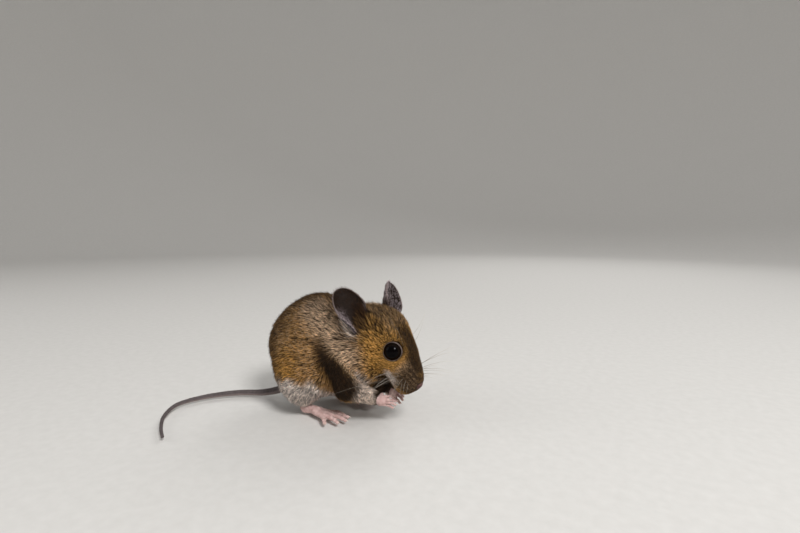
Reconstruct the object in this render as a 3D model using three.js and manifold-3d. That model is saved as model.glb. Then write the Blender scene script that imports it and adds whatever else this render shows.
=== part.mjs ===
// A wood mouse, also called the long-tailed field mouse, sitting crouched on its hind feet with its
// forefeet held up to its mouth and its tail laid along the ground.
// Millimetres, +Z up, +X the way the mouse faces, +Y its left. The ground is at zero height.
import * as THREE from "three";
import { mergeVertices } from "three/addons/utils/BufferGeometryUtils.js";
import Module from "manifold-3d";

const wasm = await Module();
wasm.setup();

// ---- Driving dimensions ----
const GAP = 0.3; // clearance between neighbouring pieces
const DEGREE = Math.PI / 180;
const SIDES = { right: -1, left: 1 };

const BACK_TOP = 38.3; // height of the hunched back
const SKULL = [26, 0, 27.3]; // middle of the braincase
const HEAD_PITCH = 42 * DEGREE; // how far the face looks down
const HEAD_TURN = -7 * DEGREE; // and to its right
const NOSE_REACH = 20.6; // from the middle of the braincase to the nose
const EYE = [8.1, 3.4, 2.1]; // along the face, out to the side, and up from the face
const EYE_RADIUS = 2.95;

const EAR_LENGTH = 12.2;
const EAR_WIDTH = 9.8;
const EARS = {
  right: { root: [-5, 7, 0], axis: [-0.4, -0.24, 0.88], opening: [0.85, -0.45, 0.2] },
  left: { root: [-5.1, 6.5, 0.4], axis: [-0.13, 0.49, 0.82], opening: [0.97, 0.1, 0.25] },
}; // the right ear is laid back and faces out, the left is pricked forwards
const EAR_WALL = 0.9;
const EAR_WRAP = { root: 95 * DEGREE, tip: 28 * DEGREE }; // how far each side wraps round
const EAR_CURL = 1.2; // how far the tip bends back

const ELBOW = [19.5, 9, 11];
const WRIST = [26.4, 4.8, 7.6];
const FINGER_REACHES = [5.6, 6.6, 6.4, 5.4]; // from the wrist, top finger first

const HEEL = [1.5, 8.4];
const TOES = [
  { root: [9.2, -1.4], reach: 4.4, splay: -32 * DEGREE },
  { root: [11, -1], reach: 6.2, splay: -11 * DEGREE },
  { root: [11.6, 0.3], reach: 6.4, splay: 2 * DEGREE },
  { root: [11, 1.7], reach: 6, splay: 15 * DEGREE },
  { root: [9.6, 2.3], reach: 5.2, splay: 44 * DEGREE },
]; // roots from the heel, inner toe first

const TAIL_ROOT_RADIUS = 1.4;
const TAIL_TIP_RADIUS = 0.45;
const TAIL_POINTS = [
  [-9, -0.6, 6],
  [-14.5, -2, 2.8],
  [-20.5, -4.2, 1.1],
  [-29, -9, 0.9],
  [-35.6, -17, 0.8],
  [-38, -26, 0.7],
  [-33.5, -34.2, 0.6],
  [-26.5, -40.2, 0.5],
  [-20, -44.2, 0.4],
];
const TAIL_CUTS = { base: [0, 0.36], middle: [0.36, 0.7], tip: [0.7, 1] };

const HEAD_CUT = { point: [19, 0, 35], lean: 17.5 * DEGREE };
const TRUNK_CUT = { point: [11, 0, 37], lean: 25.6 * DEGREE };
const ARM_SPACE = [
  { place: [15.5, 10, 17], radius: 5.6 },
  { place: ELBOW, radius: 6 },
  { place: [30, 4.2, 6.2], radius: 2.8 },
]; // what a foreleg takes out of the body, from the shoulder past the wrist
const THIGH = [-1, 17, 10]; // middle and radii of what a hind leg takes
const THIGH_RADII = [13, 10.8, 13.5];
const FINE = 1.8; // facet size on the head and forelegs
const COARSE = 3; // and on the rest of the body

// ---- Materials ----
const finish = (color, roughness) => new THREE.MeshStandardMaterial({ color, roughness, metalness: 0 });
const brownFur = () => finish(0x8a6236, 0.9);
const greyFur = () => finish(0xa89a86, 0.9);
const earSkin = () => finish(0x5c4d48, 0.75);
const pinkSkin = () => finish(0xdcb0a6, 0.6);
const tailSkin = () => finish(0x6d6263, 0.75);
const noseSkin = () => finish(0x7d5550, 0.5);
const wetEye = () => finish(0x060505, 0.05);

// ---- Fields: negative inside, positive outside, in millimetres ----

function ellipsoid(centre, radii, lean = 0) {
  const [cos, sin] = [Math.cos(lean), Math.sin(lean)];
  return (p) => {
    const x = p.x - centre[0];
    const z = p.z - centre[2];
    const u = (x * cos + z * sin) / radii[0];
    const v = (p.y - centre[1]) / radii[1];
    const w = (z * cos - x * sin) / radii[2];
    const scaled = Math.hypot(u, v, w);
    const slope = Math.hypot(u / radii[0], v / radii[1], w / radii[2]);
    return slope > 0 ? (scaled * (scaled - 1)) / slope : -Math.min(...radii);
  };
}

// A cone with round ends, from a to b.
function roundCone(a, b, radiusA, radiusB) {
  const start = new THREE.Vector3(...a);
  const along = new THREE.Vector3(...b).sub(start);
  const lengthSquared = along.lengthSq();
  const offset = new THREE.Vector3();
  return (p) => {
    offset.subVectors(p, start);
    const t = THREE.MathUtils.clamp(offset.dot(along) / lengthSquared, 0, 1);
    return offset.addScaledVector(along, -t).length() - THREE.MathUtils.lerp(radiusA, radiusB, t);
  };
}

// The union of some fields, with the creases between them filled over a blend width.
function joined(fields, blend) {
  return (p) => {
    let distance = Infinity;
    for (const field of fields) {
      const next = field(p);
      const share = Math.max(blend - Math.abs(distance - next), 0) / blend;
      distance = Math.min(distance, next) - (share * share * blend) / 4;
    }
    return distance;
  };
}

// The same field on both sides of the middle.
function mirrored(field) {
  const folded = new THREE.Vector3();
  return (p) => field(folded.set(p.x, Math.abs(p.y), p.z));
}

// A field made in a frame of its own, such as the head's.
function posed(field, pose) {
  const inverse = pose.clone().invert();
  const local = new THREE.Vector3();
  return (p) => field(local.copy(p).applyMatrix4(inverse));
}

// ---- The body as one field ----
const headPose = new THREE.Matrix4()
  .makeRotationZ(HEAD_TURN)
  .multiply(new THREE.Matrix4().makeRotationY(HEAD_PITCH))
  .setPosition(...SKULL);
const onHead = (along, side, up) => new THREE.Vector3(along, side, up).applyMatrix4(headPose);

const torso = joined(
  [
    roundCone([-5, 0, 9.5], [-13, -1.6, 3.6], 3.8, 2), // root of the tail
    ellipsoid([-3.4, 0, 20.2], [13, 13.2, 13.6]), // rump
    ellipsoid([4.6, 0, 16.6], [13.6, 13.8, 13]), // belly
    ellipsoid([3, 0, BACK_TOP - 15], [14, 11.5, 15]), // back
    ellipsoid([14, 0, 21.5], [12, 10.5, 12.5], -20 * DEGREE), // chest and shoulders
    ellipsoid([19.5, 0, 26.5], [8.5, 8, 8], -25 * DEGREE), // neck
    roundCone([19, 0, 18], [26.4, 0, 11.8], 7, 3.8), // throat
  ],
  5,
);
const haunch = mirrored(
  joined(
    [
      ellipsoid([1.4, 10.3, 13.5], [9.8, 5, 10], 20 * DEGREE), // thigh
      roundCone([1.9, 11, 9], [2.5, 9, 5.2], 4, 2.2), // down to the heel
    ],
    4,
  ),
);
const foreleg = mirrored(
  joined(
    [
      roundCone([15, 7.5, 18], ELBOW, 5.5, 3.9),
      roundCone(ELBOW, WRIST, 3.8, 1.9),
      ellipsoid([23.4, 4.6, 17.4], [4.8, 4.2, 5]), // loose coat between the arm and the throat
    ],
    2,
  ),
);
const head = posed(
  joined(
    [
      ellipsoid([0, 0, 0], [9.4, 7.8, 7.3]), // braincase
      ellipsoid([5, 0, 2.2], [8.8, 6.2, 5.5]), // forehead
      mirrored(ellipsoid([4.5, 4, -2], [7, 3.8, 4.6])), // cheeks
      mirrored(ellipsoid([0.5, 3, 2.6], [5.5, 4, 5.2])), // crown, in front of the ears
      ellipsoid([11, 0, -0.2], [8, 5.2, 4.7]), // bridge of the nose
      roundCone([6, 0, -0.6], [NOSE_REACH - 3.3, 0, -1.6], 5.8, 3.2), // muzzle
      mirrored(ellipsoid([NOSE_REACH - 4.4, 1.9, -3.6], [3.6, 2.3, 3.2])), // whisker pads
      roundCone([3, 0, -5], [NOSE_REACH - 6.2, 0, -6.4], 4.2, 2), // lower jaw
    ],
    2.5,
  ),
  headPose,
);
const body = joined([joined([torso, haunch, foreleg], 3), head], 3.5);

// ---- Solids ----

// A closed mesh as a solid that can be joined and cut.
function solidOf(geometry) {
  const bare = geometry.clone();
  bare.deleteAttribute("normal");
  bare.deleteAttribute("uv");
  const merged = mergeVertices(bare, 1e-4);
  const corners = [];
  for (let i = 0; i < merged.index.count; i += 3) {
    const [a, b, c] = merged.index.array.slice(i, i + 3);
    if (a !== b && b !== c && c !== a) corners.push(a, b, c);
  }
  return new wasm.Manifold(
    new wasm.Mesh({
      numProp: 3,
      vertProperties: merged.attributes.position.array,
      triVerts: new Uint32Array(corners),
    }),
  );
}

function geometryOf(solid) {
  const mesh = solid.getMesh();
  const geometry = new THREE.BufferGeometry();
  geometry.setAttribute("position", new THREE.BufferAttribute(mesh.vertProperties, mesh.numProp));
  geometry.setIndex(new THREE.BufferAttribute(mesh.triVerts, 1));
  return geometry;
}

// The closed surface where a field reaches a level, inside a box: one point in each cell that the surface
// crosses, pulled onto it, and one square across each grid edge that it crosses.
function surfaceOf(field, low, high, cell, level = 0) {
  const counts = low.map((from, axis) => Math.ceil((high[axis] - from) / cell) + 1);
  const strides = [1, counts[0], counts[0] * counts[1]];
  const indexOf = (i, j, k) => i + j * strides[1] + k * strides[2];
  const placeOf = (i, j, k) => new THREE.Vector3(low[0] + i * cell, low[1] + j * cell, low[2] + k * cell);
  const values = new Float32Array(strides[2] * counts[2]);
  for (let k = 0; k < counts[2]; k += 1) {
    for (let j = 0; j < counts[1]; j += 1) {
      for (let i = 0; i < counts[0]; i += 1) values[indexOf(i, j, k)] = field(placeOf(i, j, k)) - level;
    }
  }
  const corners = Array.from({ length: 8 }, (_, c) => [c & 1, (c >> 1) & 1, c >> 2]);
  const points = [];
  const pointOfCell = new Map();
  const faces = [];
  for (let k = 0; k + 1 < counts[2]; k += 1) {
    for (let j = 0; j + 1 < counts[1]; j += 1) {
      for (let i = 0; i + 1 < counts[0]; i += 1) {
        const found = corners.map(([a, b, c]) => values[indexOf(i + a, j + b, k + c)]);
        if (found.every((v) => v < 0) || found.every((v) => v >= 0)) continue;
        const middle = new THREE.Vector3();
        let crossings = 0;
        for (let c = 0; c < 8; c += 1) {
          for (let axis = 0; axis < 3; axis += 1) {
            const other = c | (1 << axis);
            if (other === c || found[c] < 0 === found[other] < 0) continue;
            const share = found[c] / (found[c] - found[other]);
            const end = placeOf(i + corners[other][0], j + corners[other][1], k + corners[other][2]);
            middle.add(placeOf(i + corners[c][0], j + corners[c][1], k + corners[c][2]).lerp(end, share));
            crossings += 1;
          }
        }
        pointOfCell.set(indexOf(i, j, k), points.length);
        points.push(pulledOnto(field, middle.divideScalar(crossings), level, cell));
      }
    }
  }
  for (let k = 1; k + 1 < counts[2]; k += 1) {
    for (let j = 1; j + 1 < counts[1]; j += 1) {
      for (let i = 1; i + 1 < counts[0]; i += 1) {
        const here = indexOf(i, j, k);
        for (let axis = 0; axis < 3; axis += 1) {
          if (values[here] < 0 === values[here + strides[axis]] < 0) continue;
          const [u, v] = [strides[(axis + 1) % 3], strides[(axis + 2) % 3]];
          const cells = [here - u - v, here - v, here, here - u];
          const square = cells.map((cellIndex) => pointOfCell.get(cellIndex));
          if (values[here] >= 0) square.reverse();
          const [a, b, c, d] = square;
          faces.push(a, b, c, a, c, d);
        }
      }
    }
  }
  const geometry = new THREE.BufferGeometry().setFromPoints(points);
  geometry.setIndex(faces);
  return geometry;
}

// A point moved along the field's slope until the field reaches the level, but never far.
function pulledOnto(field, point, level, cell) {
  const reach = 0.02;
  const moved = point.clone();
  for (let step = 0; step < 3; step += 1) {
    const here = field(moved);
    const slope = new THREE.Vector3(
      field(moved.clone().setX(moved.x + reach)) - here,
      field(moved.clone().setY(moved.y + reach)) - here,
      field(moved.clone().setZ(moved.z + reach)) - here,
    ).divideScalar(reach);
    moved.addScaledVector(slope, (level - here) / Math.max(slope.lengthSq(), 0.2));
  }
  return moved.sub(point).clampLength(0, cell * 0.4).add(point);
}

// A grid of points that closes round one way and has a cap at each end: at(u, v) with u, v from 0 to 1.
function loft(at, steps, sides) {
  const points = [];
  const faces = [];
  for (let i = 0; i <= steps; i += 1) {
    for (let j = 0; j < sides; j += 1) points.push(at(i / steps, j / sides));
  }
  for (let i = 0; i < steps; i += 1) {
    for (let j = 0; j < sides; j += 1) {
      const next = (j + 1) % sides;
      const [a, b] = [i * sides + j, i * sides + next];
      faces.push(a, b, b + sides, a, b + sides, a + sides);
    }
  }
  for (const [row, turned] of [[0, true], [steps, false]]) {
    const middle = new THREE.Vector3();
    const ring = points.slice(row * sides, (row + 1) * sides);
    for (const point of ring) middle.addScaledVector(point, 1 / sides);
    points.push(middle);
    for (let j = 0; j < sides; j += 1) {
      const [a, b] = [row * sides + j, row * sides + ((j + 1) % sides)];
      faces.push(points.length - 1, turned ? b : a, turned ? a : b);
    }
  }
  const geometry = new THREE.BufferGeometry().setFromPoints(points);
  geometry.setIndex(faces);
  return geometry;
}

// A round rod along a path, with a radius for each of its points: a toe, a finger, the tail.
function tapered(path, radii, sides) {
  const points = path.map((point) => new THREE.Vector3(...point));
  const last = points.length - 1;
  const up = new THREE.Vector3(0, 0, 1);
  return solidOf(
    loft(
      (u, v) => {
        const i = Math.round(u * last);
        const [before, after] = [points[Math.max(i - 1, 0)], points[Math.min(i + 1, last)]];
        const tangent = after.clone().sub(before).normalize();
        const side = new THREE.Vector3().crossVectors(tangent, up).normalize();
        const rise = new THREE.Vector3().crossVectors(side, tangent);
        return points[i]
          .clone()
          .addScaledVector(side, radii[i] * Math.sin(v * 2 * Math.PI))
          .addScaledVector(rise, radii[i] * Math.cos(v * 2 * Math.PI));
      },
      last,
      sides,
    ),
  );
}

const ball = (centre, radii, across = 14, down = 10) =>
  solidOf(new THREE.SphereGeometry(1, across, down).scale(...radii).translate(...centre));

// All that lies ahead of a slanting plane across the body.
function ahead(cut, gap) {
  const size = 160;
  const block = new THREE.BoxGeometry(size, size, size).translate(size / 2 + gap, 0, 0).rotateY(-cut.lean);
  return solidOf(block.translate(...cut.point));
}

const ground = solidOf(new THREE.BoxGeometry(200, 200, 20).translate(0, 0, -10));

// ---- The mouse ----
const model = new THREE.Group();
function add(name, solid, material) {
  const mesh = new THREE.Mesh(geometryOf(solid), material);
  mesh.name = name;
  model.add(mesh);
}

const LOW = [-22, -19, -3];
const HIGH = [46, 19, 43];
const fineBody = solidOf(surfaceOf(body, LOW, HIGH, FINE));
const coarseBody = solidOf(surfaceOf(body, LOW, HIGH, COARSE));
const sleeve = solidOf(surfaceOf(body, LOW, HIGH, FINE, GAP)); // the body with the clearance round it
const outward = ([x, y, z], side) => [x, y * side, z];

// The space a foreleg takes out of the body, and the space a hind leg takes.
function armRegion(side, gap) {
  const [shoulder, elbow, wrist] = ARM_SPACE.map(({ place }) => outward(place, side));
  const [upper, middle, lower] = ARM_SPACE.map(({ radius }) => radius);
  const bones = [roundCone(shoulder, elbow, upper, middle), roundCone(elbow, wrist, middle, lower)];
  return solidOf(surfaceOf(joined(bones, 2), [6, -22, -4], [42, 22, 28], COARSE, gap));
}
const thighRegion = (side, gap) =>
  ball(outward(THIGH, side), THIGH_RADII.map((radius) => radius + gap), 16, 12);

let bareFine = fineBody;
let bareCoarse = coarseBody;
for (const [name, side] of Object.entries(SIDES)) {
  add(`foreleg_${name}`, fineBody.intersect(armRegion(side, 0)), brownFur());
  const thigh = coarseBody.intersect(thighRegion(side, 0));
  add(`hindleg_${name}`, thigh.subtract(armRegion(side, GAP)), greyFur());
  bareFine = bareFine.subtract(armRegion(side, GAP));
  bareCoarse = bareCoarse.subtract(armRegion(side, GAP)).subtract(thighRegion(side, GAP));
}

// Head, with its sockets
const noseAt = (gap) => {
  const pad = new THREE.SphereGeometry(1, 8, 6).scale(1.1 + gap, 1.5 + gap, 1.2 + gap);
  return solidOf(pad.translate(NOSE_REACH - 0.6, 0, -0.6).applyMatrix4(headPose));
};
const eyeAt = (side, gap) => {
  const globe = new THREE.SphereGeometry(EYE_RADIUS + gap, 10, 8);
  return solidOf(globe.translate(...outward(EYE, side)).applyMatrix4(headPose));
};
let skull = bareFine.intersect(ahead(HEAD_CUT, GAP / 2)).subtract(noseAt(GAP));
for (const side of Object.values(SIDES)) skull = skull.subtract(eyeAt(side, GAP));
add("head", skull, brownFur());
add("nose", noseAt(0), noseSkin());

// Neck and trunk
const behindHead = bareCoarse.subtract(ahead(HEAD_CUT, -GAP / 2));
add("neck", behindHead.intersect(ahead(TRUNK_CUT, GAP / 2)), brownFur());
add("trunk", behindHead.subtract(ahead(TRUNK_CUT, -GAP / 2)), brownFur());

// Ears: cupped leaves that open forwards, rolled nearly into a tube at the root
const EAR_ROWS = 8;
const EAR_HALF = 8; // points across each face

function earAt(name, side) {
  const turn = new THREE.Matrix4().makeRotationZ(HEAD_TURN);
  const axis = new THREE.Vector3(...EARS[name].axis).transformDirection(turn);
  const opening = new THREE.Vector3(...EARS[name].opening).transformDirection(turn);
  opening.addScaledVector(axis, -opening.dot(axis)).normalize();
  const across = new THREE.Vector3().crossVectors(opening, axis);
  const root = onHead(...outward(EARS[name].root, side));
  const shell = loft(
    (along, around) => {
      const index = Math.round(around * 2 * EAR_HALF);
      const outer = index < EAR_HALF;
      const share = (outer ? index : 2 * EAR_HALF - 1 - index) / (EAR_HALF - 1);
      const wrap = THREE.MathUtils.lerp(EAR_WRAP.root, EAR_WRAP.tip, along ** 0.6);
      const flare = 0.88 + 0.12 * Math.sin(Math.min(along / 0.4, 1) * 90 * DEGREE);
      const neck = 0.5 + 0.5 * THREE.MathUtils.smoothstep(along, -0.25, 0.5);
      const rounding = Math.sqrt(1 - 0.995 * Math.max((along - 0.3) / 0.7, 0) ** 2.4);
      const radius = ((EAR_WIDTH / 2) * flare * neck * rounding) / Math.sin(Math.min(wrap, 90 * DEGREE));
      const reach = radius - (outer ? 0 : EAR_WALL * (1 - 0.5 * along));
      const turned = wrap * (share * 2 - 1);
      return root
        .clone()
        .addScaledVector(axis, along * EAR_LENGTH)
        .addScaledVector(across, reach * Math.sin(turned))
        .addScaledVector(opening, radius - reach * Math.cos(turned) - EAR_CURL * along ** 2);
    },
    EAR_ROWS,
    2 * EAR_HALF,
  );
  return solidOf(shell);
}

for (const [name, side] of Object.entries(SIDES)) {
  add(`ear_${name}`, earAt(name, side).subtract(sleeve), earSkin());
  add(`eye_${name}`, eyeAt(side, 0), wetEye());
}

// Forefeet: a palm, four fingers and their claws, held palm inwards
function handAt(side) {
  const at = (x, y, z) => outward([WRIST[0] + x, WRIST[1] + y, WRIST[2] + z], side);
  const palm = [at(-1, 0.3, 0.2), at(0.6, -0.2, -0.1), at(2.2, -0.7, -0.3), at(2.9, -0.9, -0.4)];
  let whole = tapered(palm, [1, 1.3, 1.6, 1], 7);
  for (const [finger, reach] of FINGER_REACHES.entries()) {
    const spread = 1.4 - finger * 0.95;
    const path = [
      at(1.7, -0.7, spread * 0.7 - 0.5),
      at(reach - 2.3, -1.2 - finger * 0.15, spread * 0.95 - 0.35),
      at(reach - 1, -2 - finger * 0.1, spread * 1.15 - 0.5),
      at(reach + 0.4, -2.8, spread * 1.2 - 1.2),
    ];
    whole = whole.add(tapered(path, [0.7, 0.52, 0.42, 0.15], 5));
  }
  return whole;
}

// Hind feet: a long flat sole with five splayed toes, the middle three longest
function footAt(side) {
  const at = (x, y, z) => outward([HEEL[0] + x, HEEL[1] + y, z], side);
  const sole = [at(0, 0, 1.7), at(1, 0, 1.8), at(6, 0.1, 1.4), at(12, 0.4, 1)];
  let whole = tapered(sole, [1, 1.9, 1.6, 1.2], 8);
  for (const { root, reach, splay } of TOES) {
    const along = (share, z) =>
      at(root[0] + reach * share * Math.cos(splay), root[1] + reach * share * Math.sin(splay), z);
    const bone = at(5, root[1] * 0.5, 1.3);
    const path = [bone, along(0, 1), along(0.5, 1), along(0.78, 0.6), along(1, 0.25)];
    whole = whole.add(tapered(path, [1.3, 1.05, 0.72, 0.55, 0.16], 5));
  }
  return whole;
}

for (const [name, side] of Object.entries(SIDES)) {
  add(`forefoot_${name}`, handAt(side).subtract(sleeve), pinkSkin());
  add(`hindfoot_${name}`, footAt(side).subtract(sleeve).subtract(ground), pinkSkin());
}

// Tail: three lengths of one tapering curve, flattened where it lies on the ground
const tailCurve = new THREE.CatmullRomCurve3(TAIL_POINTS.map((point) => new THREE.Vector3(...point)));
function tailLength([from, to]) {
  const steps = 9;
  const clearance = GAP / 2 / tailCurve.getLength();
  const [first, last] = [from > 0 ? from + clearance : from, to < 1 ? to - clearance : to];
  const shares = Array.from({ length: steps + 1 }, (_, i) => THREE.MathUtils.lerp(first, last, i / steps));
  const path = shares.map((share) => tailCurve.getPointAt(share).toArray());
  const thickness = TAIL_ROOT_RADIUS - TAIL_TIP_RADIUS;
  const radii = shares.map((share) => TAIL_TIP_RADIUS + thickness * (1 - share) ** 1.6);
  return tapered(path, radii, 7).subtract(ground).subtract(sleeve);
}
for (const [name, stretch] of Object.entries(TAIL_CUTS)) {
  add(`tail_${name}`, tailLength(stretch), tailSkin());
}

// The origin is on the ground, under the middle of the whole animal.
const bounds = new THREE.Box3().setFromObject(model);
const middle = bounds.getCenter(new THREE.Vector3());
model.position.set(-middle.x, -middle.y, -bounds.min.z);

export default model;
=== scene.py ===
"""A wood mouse sitting crouched, as a life-size museum model: skin, coat, eyes, claws and whiskers."""
import collections
import functools
import itertools
import math

import bpy
import numpy as np
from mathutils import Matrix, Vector
from mathutils.kdtree import KDTree


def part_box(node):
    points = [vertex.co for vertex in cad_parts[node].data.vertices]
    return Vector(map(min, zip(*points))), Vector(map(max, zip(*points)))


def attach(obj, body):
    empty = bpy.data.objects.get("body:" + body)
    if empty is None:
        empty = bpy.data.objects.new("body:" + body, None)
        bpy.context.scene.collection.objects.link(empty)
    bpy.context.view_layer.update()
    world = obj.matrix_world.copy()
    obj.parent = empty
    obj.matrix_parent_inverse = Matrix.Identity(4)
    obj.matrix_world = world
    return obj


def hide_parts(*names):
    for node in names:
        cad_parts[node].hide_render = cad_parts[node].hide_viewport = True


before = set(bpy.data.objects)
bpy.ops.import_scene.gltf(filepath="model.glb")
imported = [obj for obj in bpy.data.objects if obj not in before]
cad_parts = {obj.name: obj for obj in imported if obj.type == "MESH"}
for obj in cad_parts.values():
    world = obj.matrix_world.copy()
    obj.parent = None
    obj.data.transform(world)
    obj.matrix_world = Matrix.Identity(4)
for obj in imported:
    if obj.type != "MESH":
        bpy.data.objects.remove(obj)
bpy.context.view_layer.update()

bl_info = {
    "name": "Wood Mouse",
    "version": (1, 0, 0),
    "blender": (4, 5, 0),
    "location": "View3D > Sidebar > Mouse",
    "description": "Builds the skin, coat, eyes, claws and whiskers of a crouched wood mouse",
    "category": "Add Mesh",
}

# ---- Driving dimensions, in millimetres: +X the way the mouse faces, +Y its left, +Z up from the ground ----
MM = 0.001
DEGREE = math.pi / 180
SIDES = {"right": -1, "left": 1}

BACK_TOP = 38.3  # height of the hunched back
SKULL = np.array((26.0, 0.0, 27.3))  # middle of the braincase
HEAD_PITCH = 42 * DEGREE  # how far the face looks down
HEAD_TURN = -7 * DEGREE  # and to its right
NOSE_REACH = 20.6  # from the middle of the braincase to the nose
EYE = (8.1, 3.4, 2.1)  # along the face, out to the side, and up from the face
EYE_RADIUS = 2.95

EAR_LENGTH = 12.2
EAR_WIDTH = 9.8
EARS = {
    "right": {
        "root": (-5.0, 7.0, 0.0),
        "axis": (-0.4, -0.24, 0.88),
        "opening": (0.85, -0.45, 0.2),
        "painted_sheen": 0.0,
    },
    "left": {
        "root": (-5.1, 6.5, 0.4),
        "axis": (-0.13, 0.49, 0.82),
        "opening": (0.97, 0.1, 0.25),
        "painted_sheen": 0.85,
    },
}  # the right ear is laid back and faces out, the left is pricked forwards; the last number tints the ear's hair a pale lavender as a painted sheen, strong on the left ear and none on the right
EAR_WALL = 0.5
EAR_WRAP = {"root": 95 * DEGREE, "tip": 28 * DEGREE}  # half the angle that the leaf wraps round
EAR_CURL = 1.2  # how far the tip bends back

SHOULDER = np.array((15.0, 7.5, 18.0))
ELBOW = np.array((19.5, 9.0, 11.0))
WRIST = np.array((26.4, 4.8, 7.6))
FINGER_REACHES = (5.6, 6.6, 6.4, 5.4)  # from the wrist, top finger first

HEEL = np.array((1.5, 8.4, 0.0))
TOES = (
    {"root": (9.2, -1.4), "reach": 4.4, "splay": -32 * DEGREE},
    {"root": (11.0, -1.0), "reach": 6.2, "splay": -11 * DEGREE},
    {"root": (11.6, 0.3), "reach": 6.4, "splay": 2 * DEGREE},
    {"root": (11.0, 1.7), "reach": 6.0, "splay": 15 * DEGREE},
    {"root": (9.6, 2.3), "reach": 5.2, "splay": 44 * DEGREE},
)  # roots from the heel, inner toe first

TAIL_ROOT_RADIUS = 1.4
TAIL_TIP_RADIUS = 0.45
TAIL_POINTS = (
    (-9, -0.6, 6),
    (-14.5, -2, 2.8),
    (-20.5, -4.2, 1.1),
    (-29, -9, 0.9),
    (-35.6, -17, 0.8),
    (-38, -26, 0.7),
    (-33.5, -34.2, 0.6),
    (-26.5, -40.2, 0.5),
    (-20, -44.2, 0.4),
)

WHISKER_ROWS = 4
WHISKER_COLUMNS = 5

FLOOR_LEVEL = -0.001  # metres: the backdrop lies a millimetre under the ground that the feet rest on
FLOOR_RADIUS = 0.8
COVE_RADIUS = 0.5  # where the floor curves up into the wall
WALL_TOP = 1.4

CAMERA_PLACE = np.array((105.5, -127.4, 62.2))
CAMERA_YAW = 119.68 * DEGREE
CAMERA_PITCH = 5.395 * DEGREE  # how far it looks down
CAMERA_LENS = 22
SENSOR_WIDTH = 36
LAMPS = (
    ("Key", (0.5, -0.3, 0.5), 0.2, 5.0),
    ("Fill", (-0.5, -0.4, 0.3), 0.4, 0.8),
    ("Back", (0.0, 0.6, 0.5), 0.4, 1.5),
)  # name, metres from the mouse's middle, metres across, watts


# ---- Small sums ----


def unit(vectors):
    """Vectors of length one."""
    return vectors / np.maximum(np.linalg.norm(vectors, axis=-1, keepdims=True), 1e-9)


def ramp(low, high, values):
    """A smooth step from 0 at low to 1 at high."""
    share = np.clip((values - low) / (high - low), 0, 1)
    return share * share * (3 - 2 * share)


def blended(a, b, share):
    """a where share is 0 and b where it is 1."""
    return a + (b - a) * share


def turned_about_z(angle):
    cos, sin = math.cos(angle), math.sin(angle)
    return np.array(((cos, -sin, 0), (sin, cos, 0), (0, 0, 1)))


def pitched_about_y(angle):
    cos, sin = math.cos(angle), math.sin(angle)
    return np.array(((cos, 0, sin), (0, 1, 0), (-sin, 0, cos)))


def outward(place, side):
    """A place on the mouse's left, moved to the right if side is -1."""
    return np.array(place) * (1, side, 1)


HEAD_AXES = turned_about_z(HEAD_TURN) @ pitched_about_y(HEAD_PITCH)


def on_head(place):
    """A place along, to the left of and above the face, from the middle of the braincase."""
    return SKULL + HEAD_AXES @ np.array(place)


def head_places(points):
    """The inverse of on_head, for rows of points."""
    return (points - SKULL) @ HEAD_AXES


EYES = {name: on_head(outward(EYE, side)) for name, side in SIDES.items()}
SHIFT = np.mean(
    [np.array(sum(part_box(f"eye_{name}"), Vector())) / 2 / MM - EYES[name] for name in SIDES], axis=0
)  # from the mouse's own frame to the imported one


def placed(points):
    """Millimetres in the mouse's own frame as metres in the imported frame."""
    return (np.asarray(points) + SHIFT) * MM


# ---- Fields: negative inside, positive outside, over rows of points ----


def ellipsoid(centre, radii, lean=0.0):
    cos, sin = math.cos(lean), math.sin(lean)

    def field(points):
        x, y, z = (points - centre).T
        u = (x * cos + z * sin) / radii[0]
        v = y / radii[1]
        w = (z * cos - x * sin) / radii[2]
        scaled = np.sqrt(u * u + v * v + w * w)
        slope = np.sqrt((u / radii[0]) ** 2 + (v / radii[1]) ** 2 + (w / radii[2]) ** 2)
        return np.where(slope > 0, scaled * (scaled - 1) / np.maximum(slope, 1e-9), -min(radii))

    return field


def round_cone(a, b, radius_a, radius_b):
    """A cone with round ends, from a to b."""
    start = np.array(a, float)
    along = np.array(b, float) - start
    length_squared = along @ along

    def field(points):
        offset = points - start
        share = np.clip(offset @ along / length_squared, 0, 1)
        gap = np.linalg.norm(offset - share[:, None] * along, axis=1)
        return gap - blended(radius_a, radius_b, share)

    return field


def joined(fields, blend):
    """The union of some fields, with the creases between them filled over a blend width."""

    def field(points):
        distance = fields[0](points)
        for other in fields[1:]:
            following = other(points)
            share = np.maximum(blend - np.abs(distance - following), 0) / blend
            distance = np.minimum(distance, following) - share * share * blend / 4
        return distance

    return field


def carved(solid, tool, blend):
    """A solid with a tool's shape taken out of it."""
    kept = joined([lambda points: -solid(points), tool], blend)
    return lambda points: -kept(points)


def mirrored(field):
    """The same field on both sides of the middle."""
    return lambda points: field(points * np.where(points[:, 1:2] < 0, (1, -1, 1), (1, 1, 1)))


def on_face(field):
    """A field made along, beside and above the face."""
    return lambda points: field(head_places(points))


def slope_of(field, points, reach=0.02):
    """A field's values at some points, and its slopes there."""
    here = field(points)
    steps = [field(points + offset) - here for offset in np.eye(3) * reach]
    return here, np.stack(steps, 1) / reach


def settled(field, points, levels=0.0, passes=3, farthest=1.0):
    """Points moved along a field's slope until the field reaches their levels."""
    moved = points.copy()
    for _ in range(passes):
        here, slope = slope_of(field, moved)
        rate = np.maximum((slope * slope).sum(1), 0.2)
        moved += slope * ((levels - here) / rate)[:, None]
    offset = moved - points
    length = np.linalg.norm(offset, axis=1, keepdims=True)
    return points + offset * np.minimum(farthest / np.maximum(length, 1e-9), 1)


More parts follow.
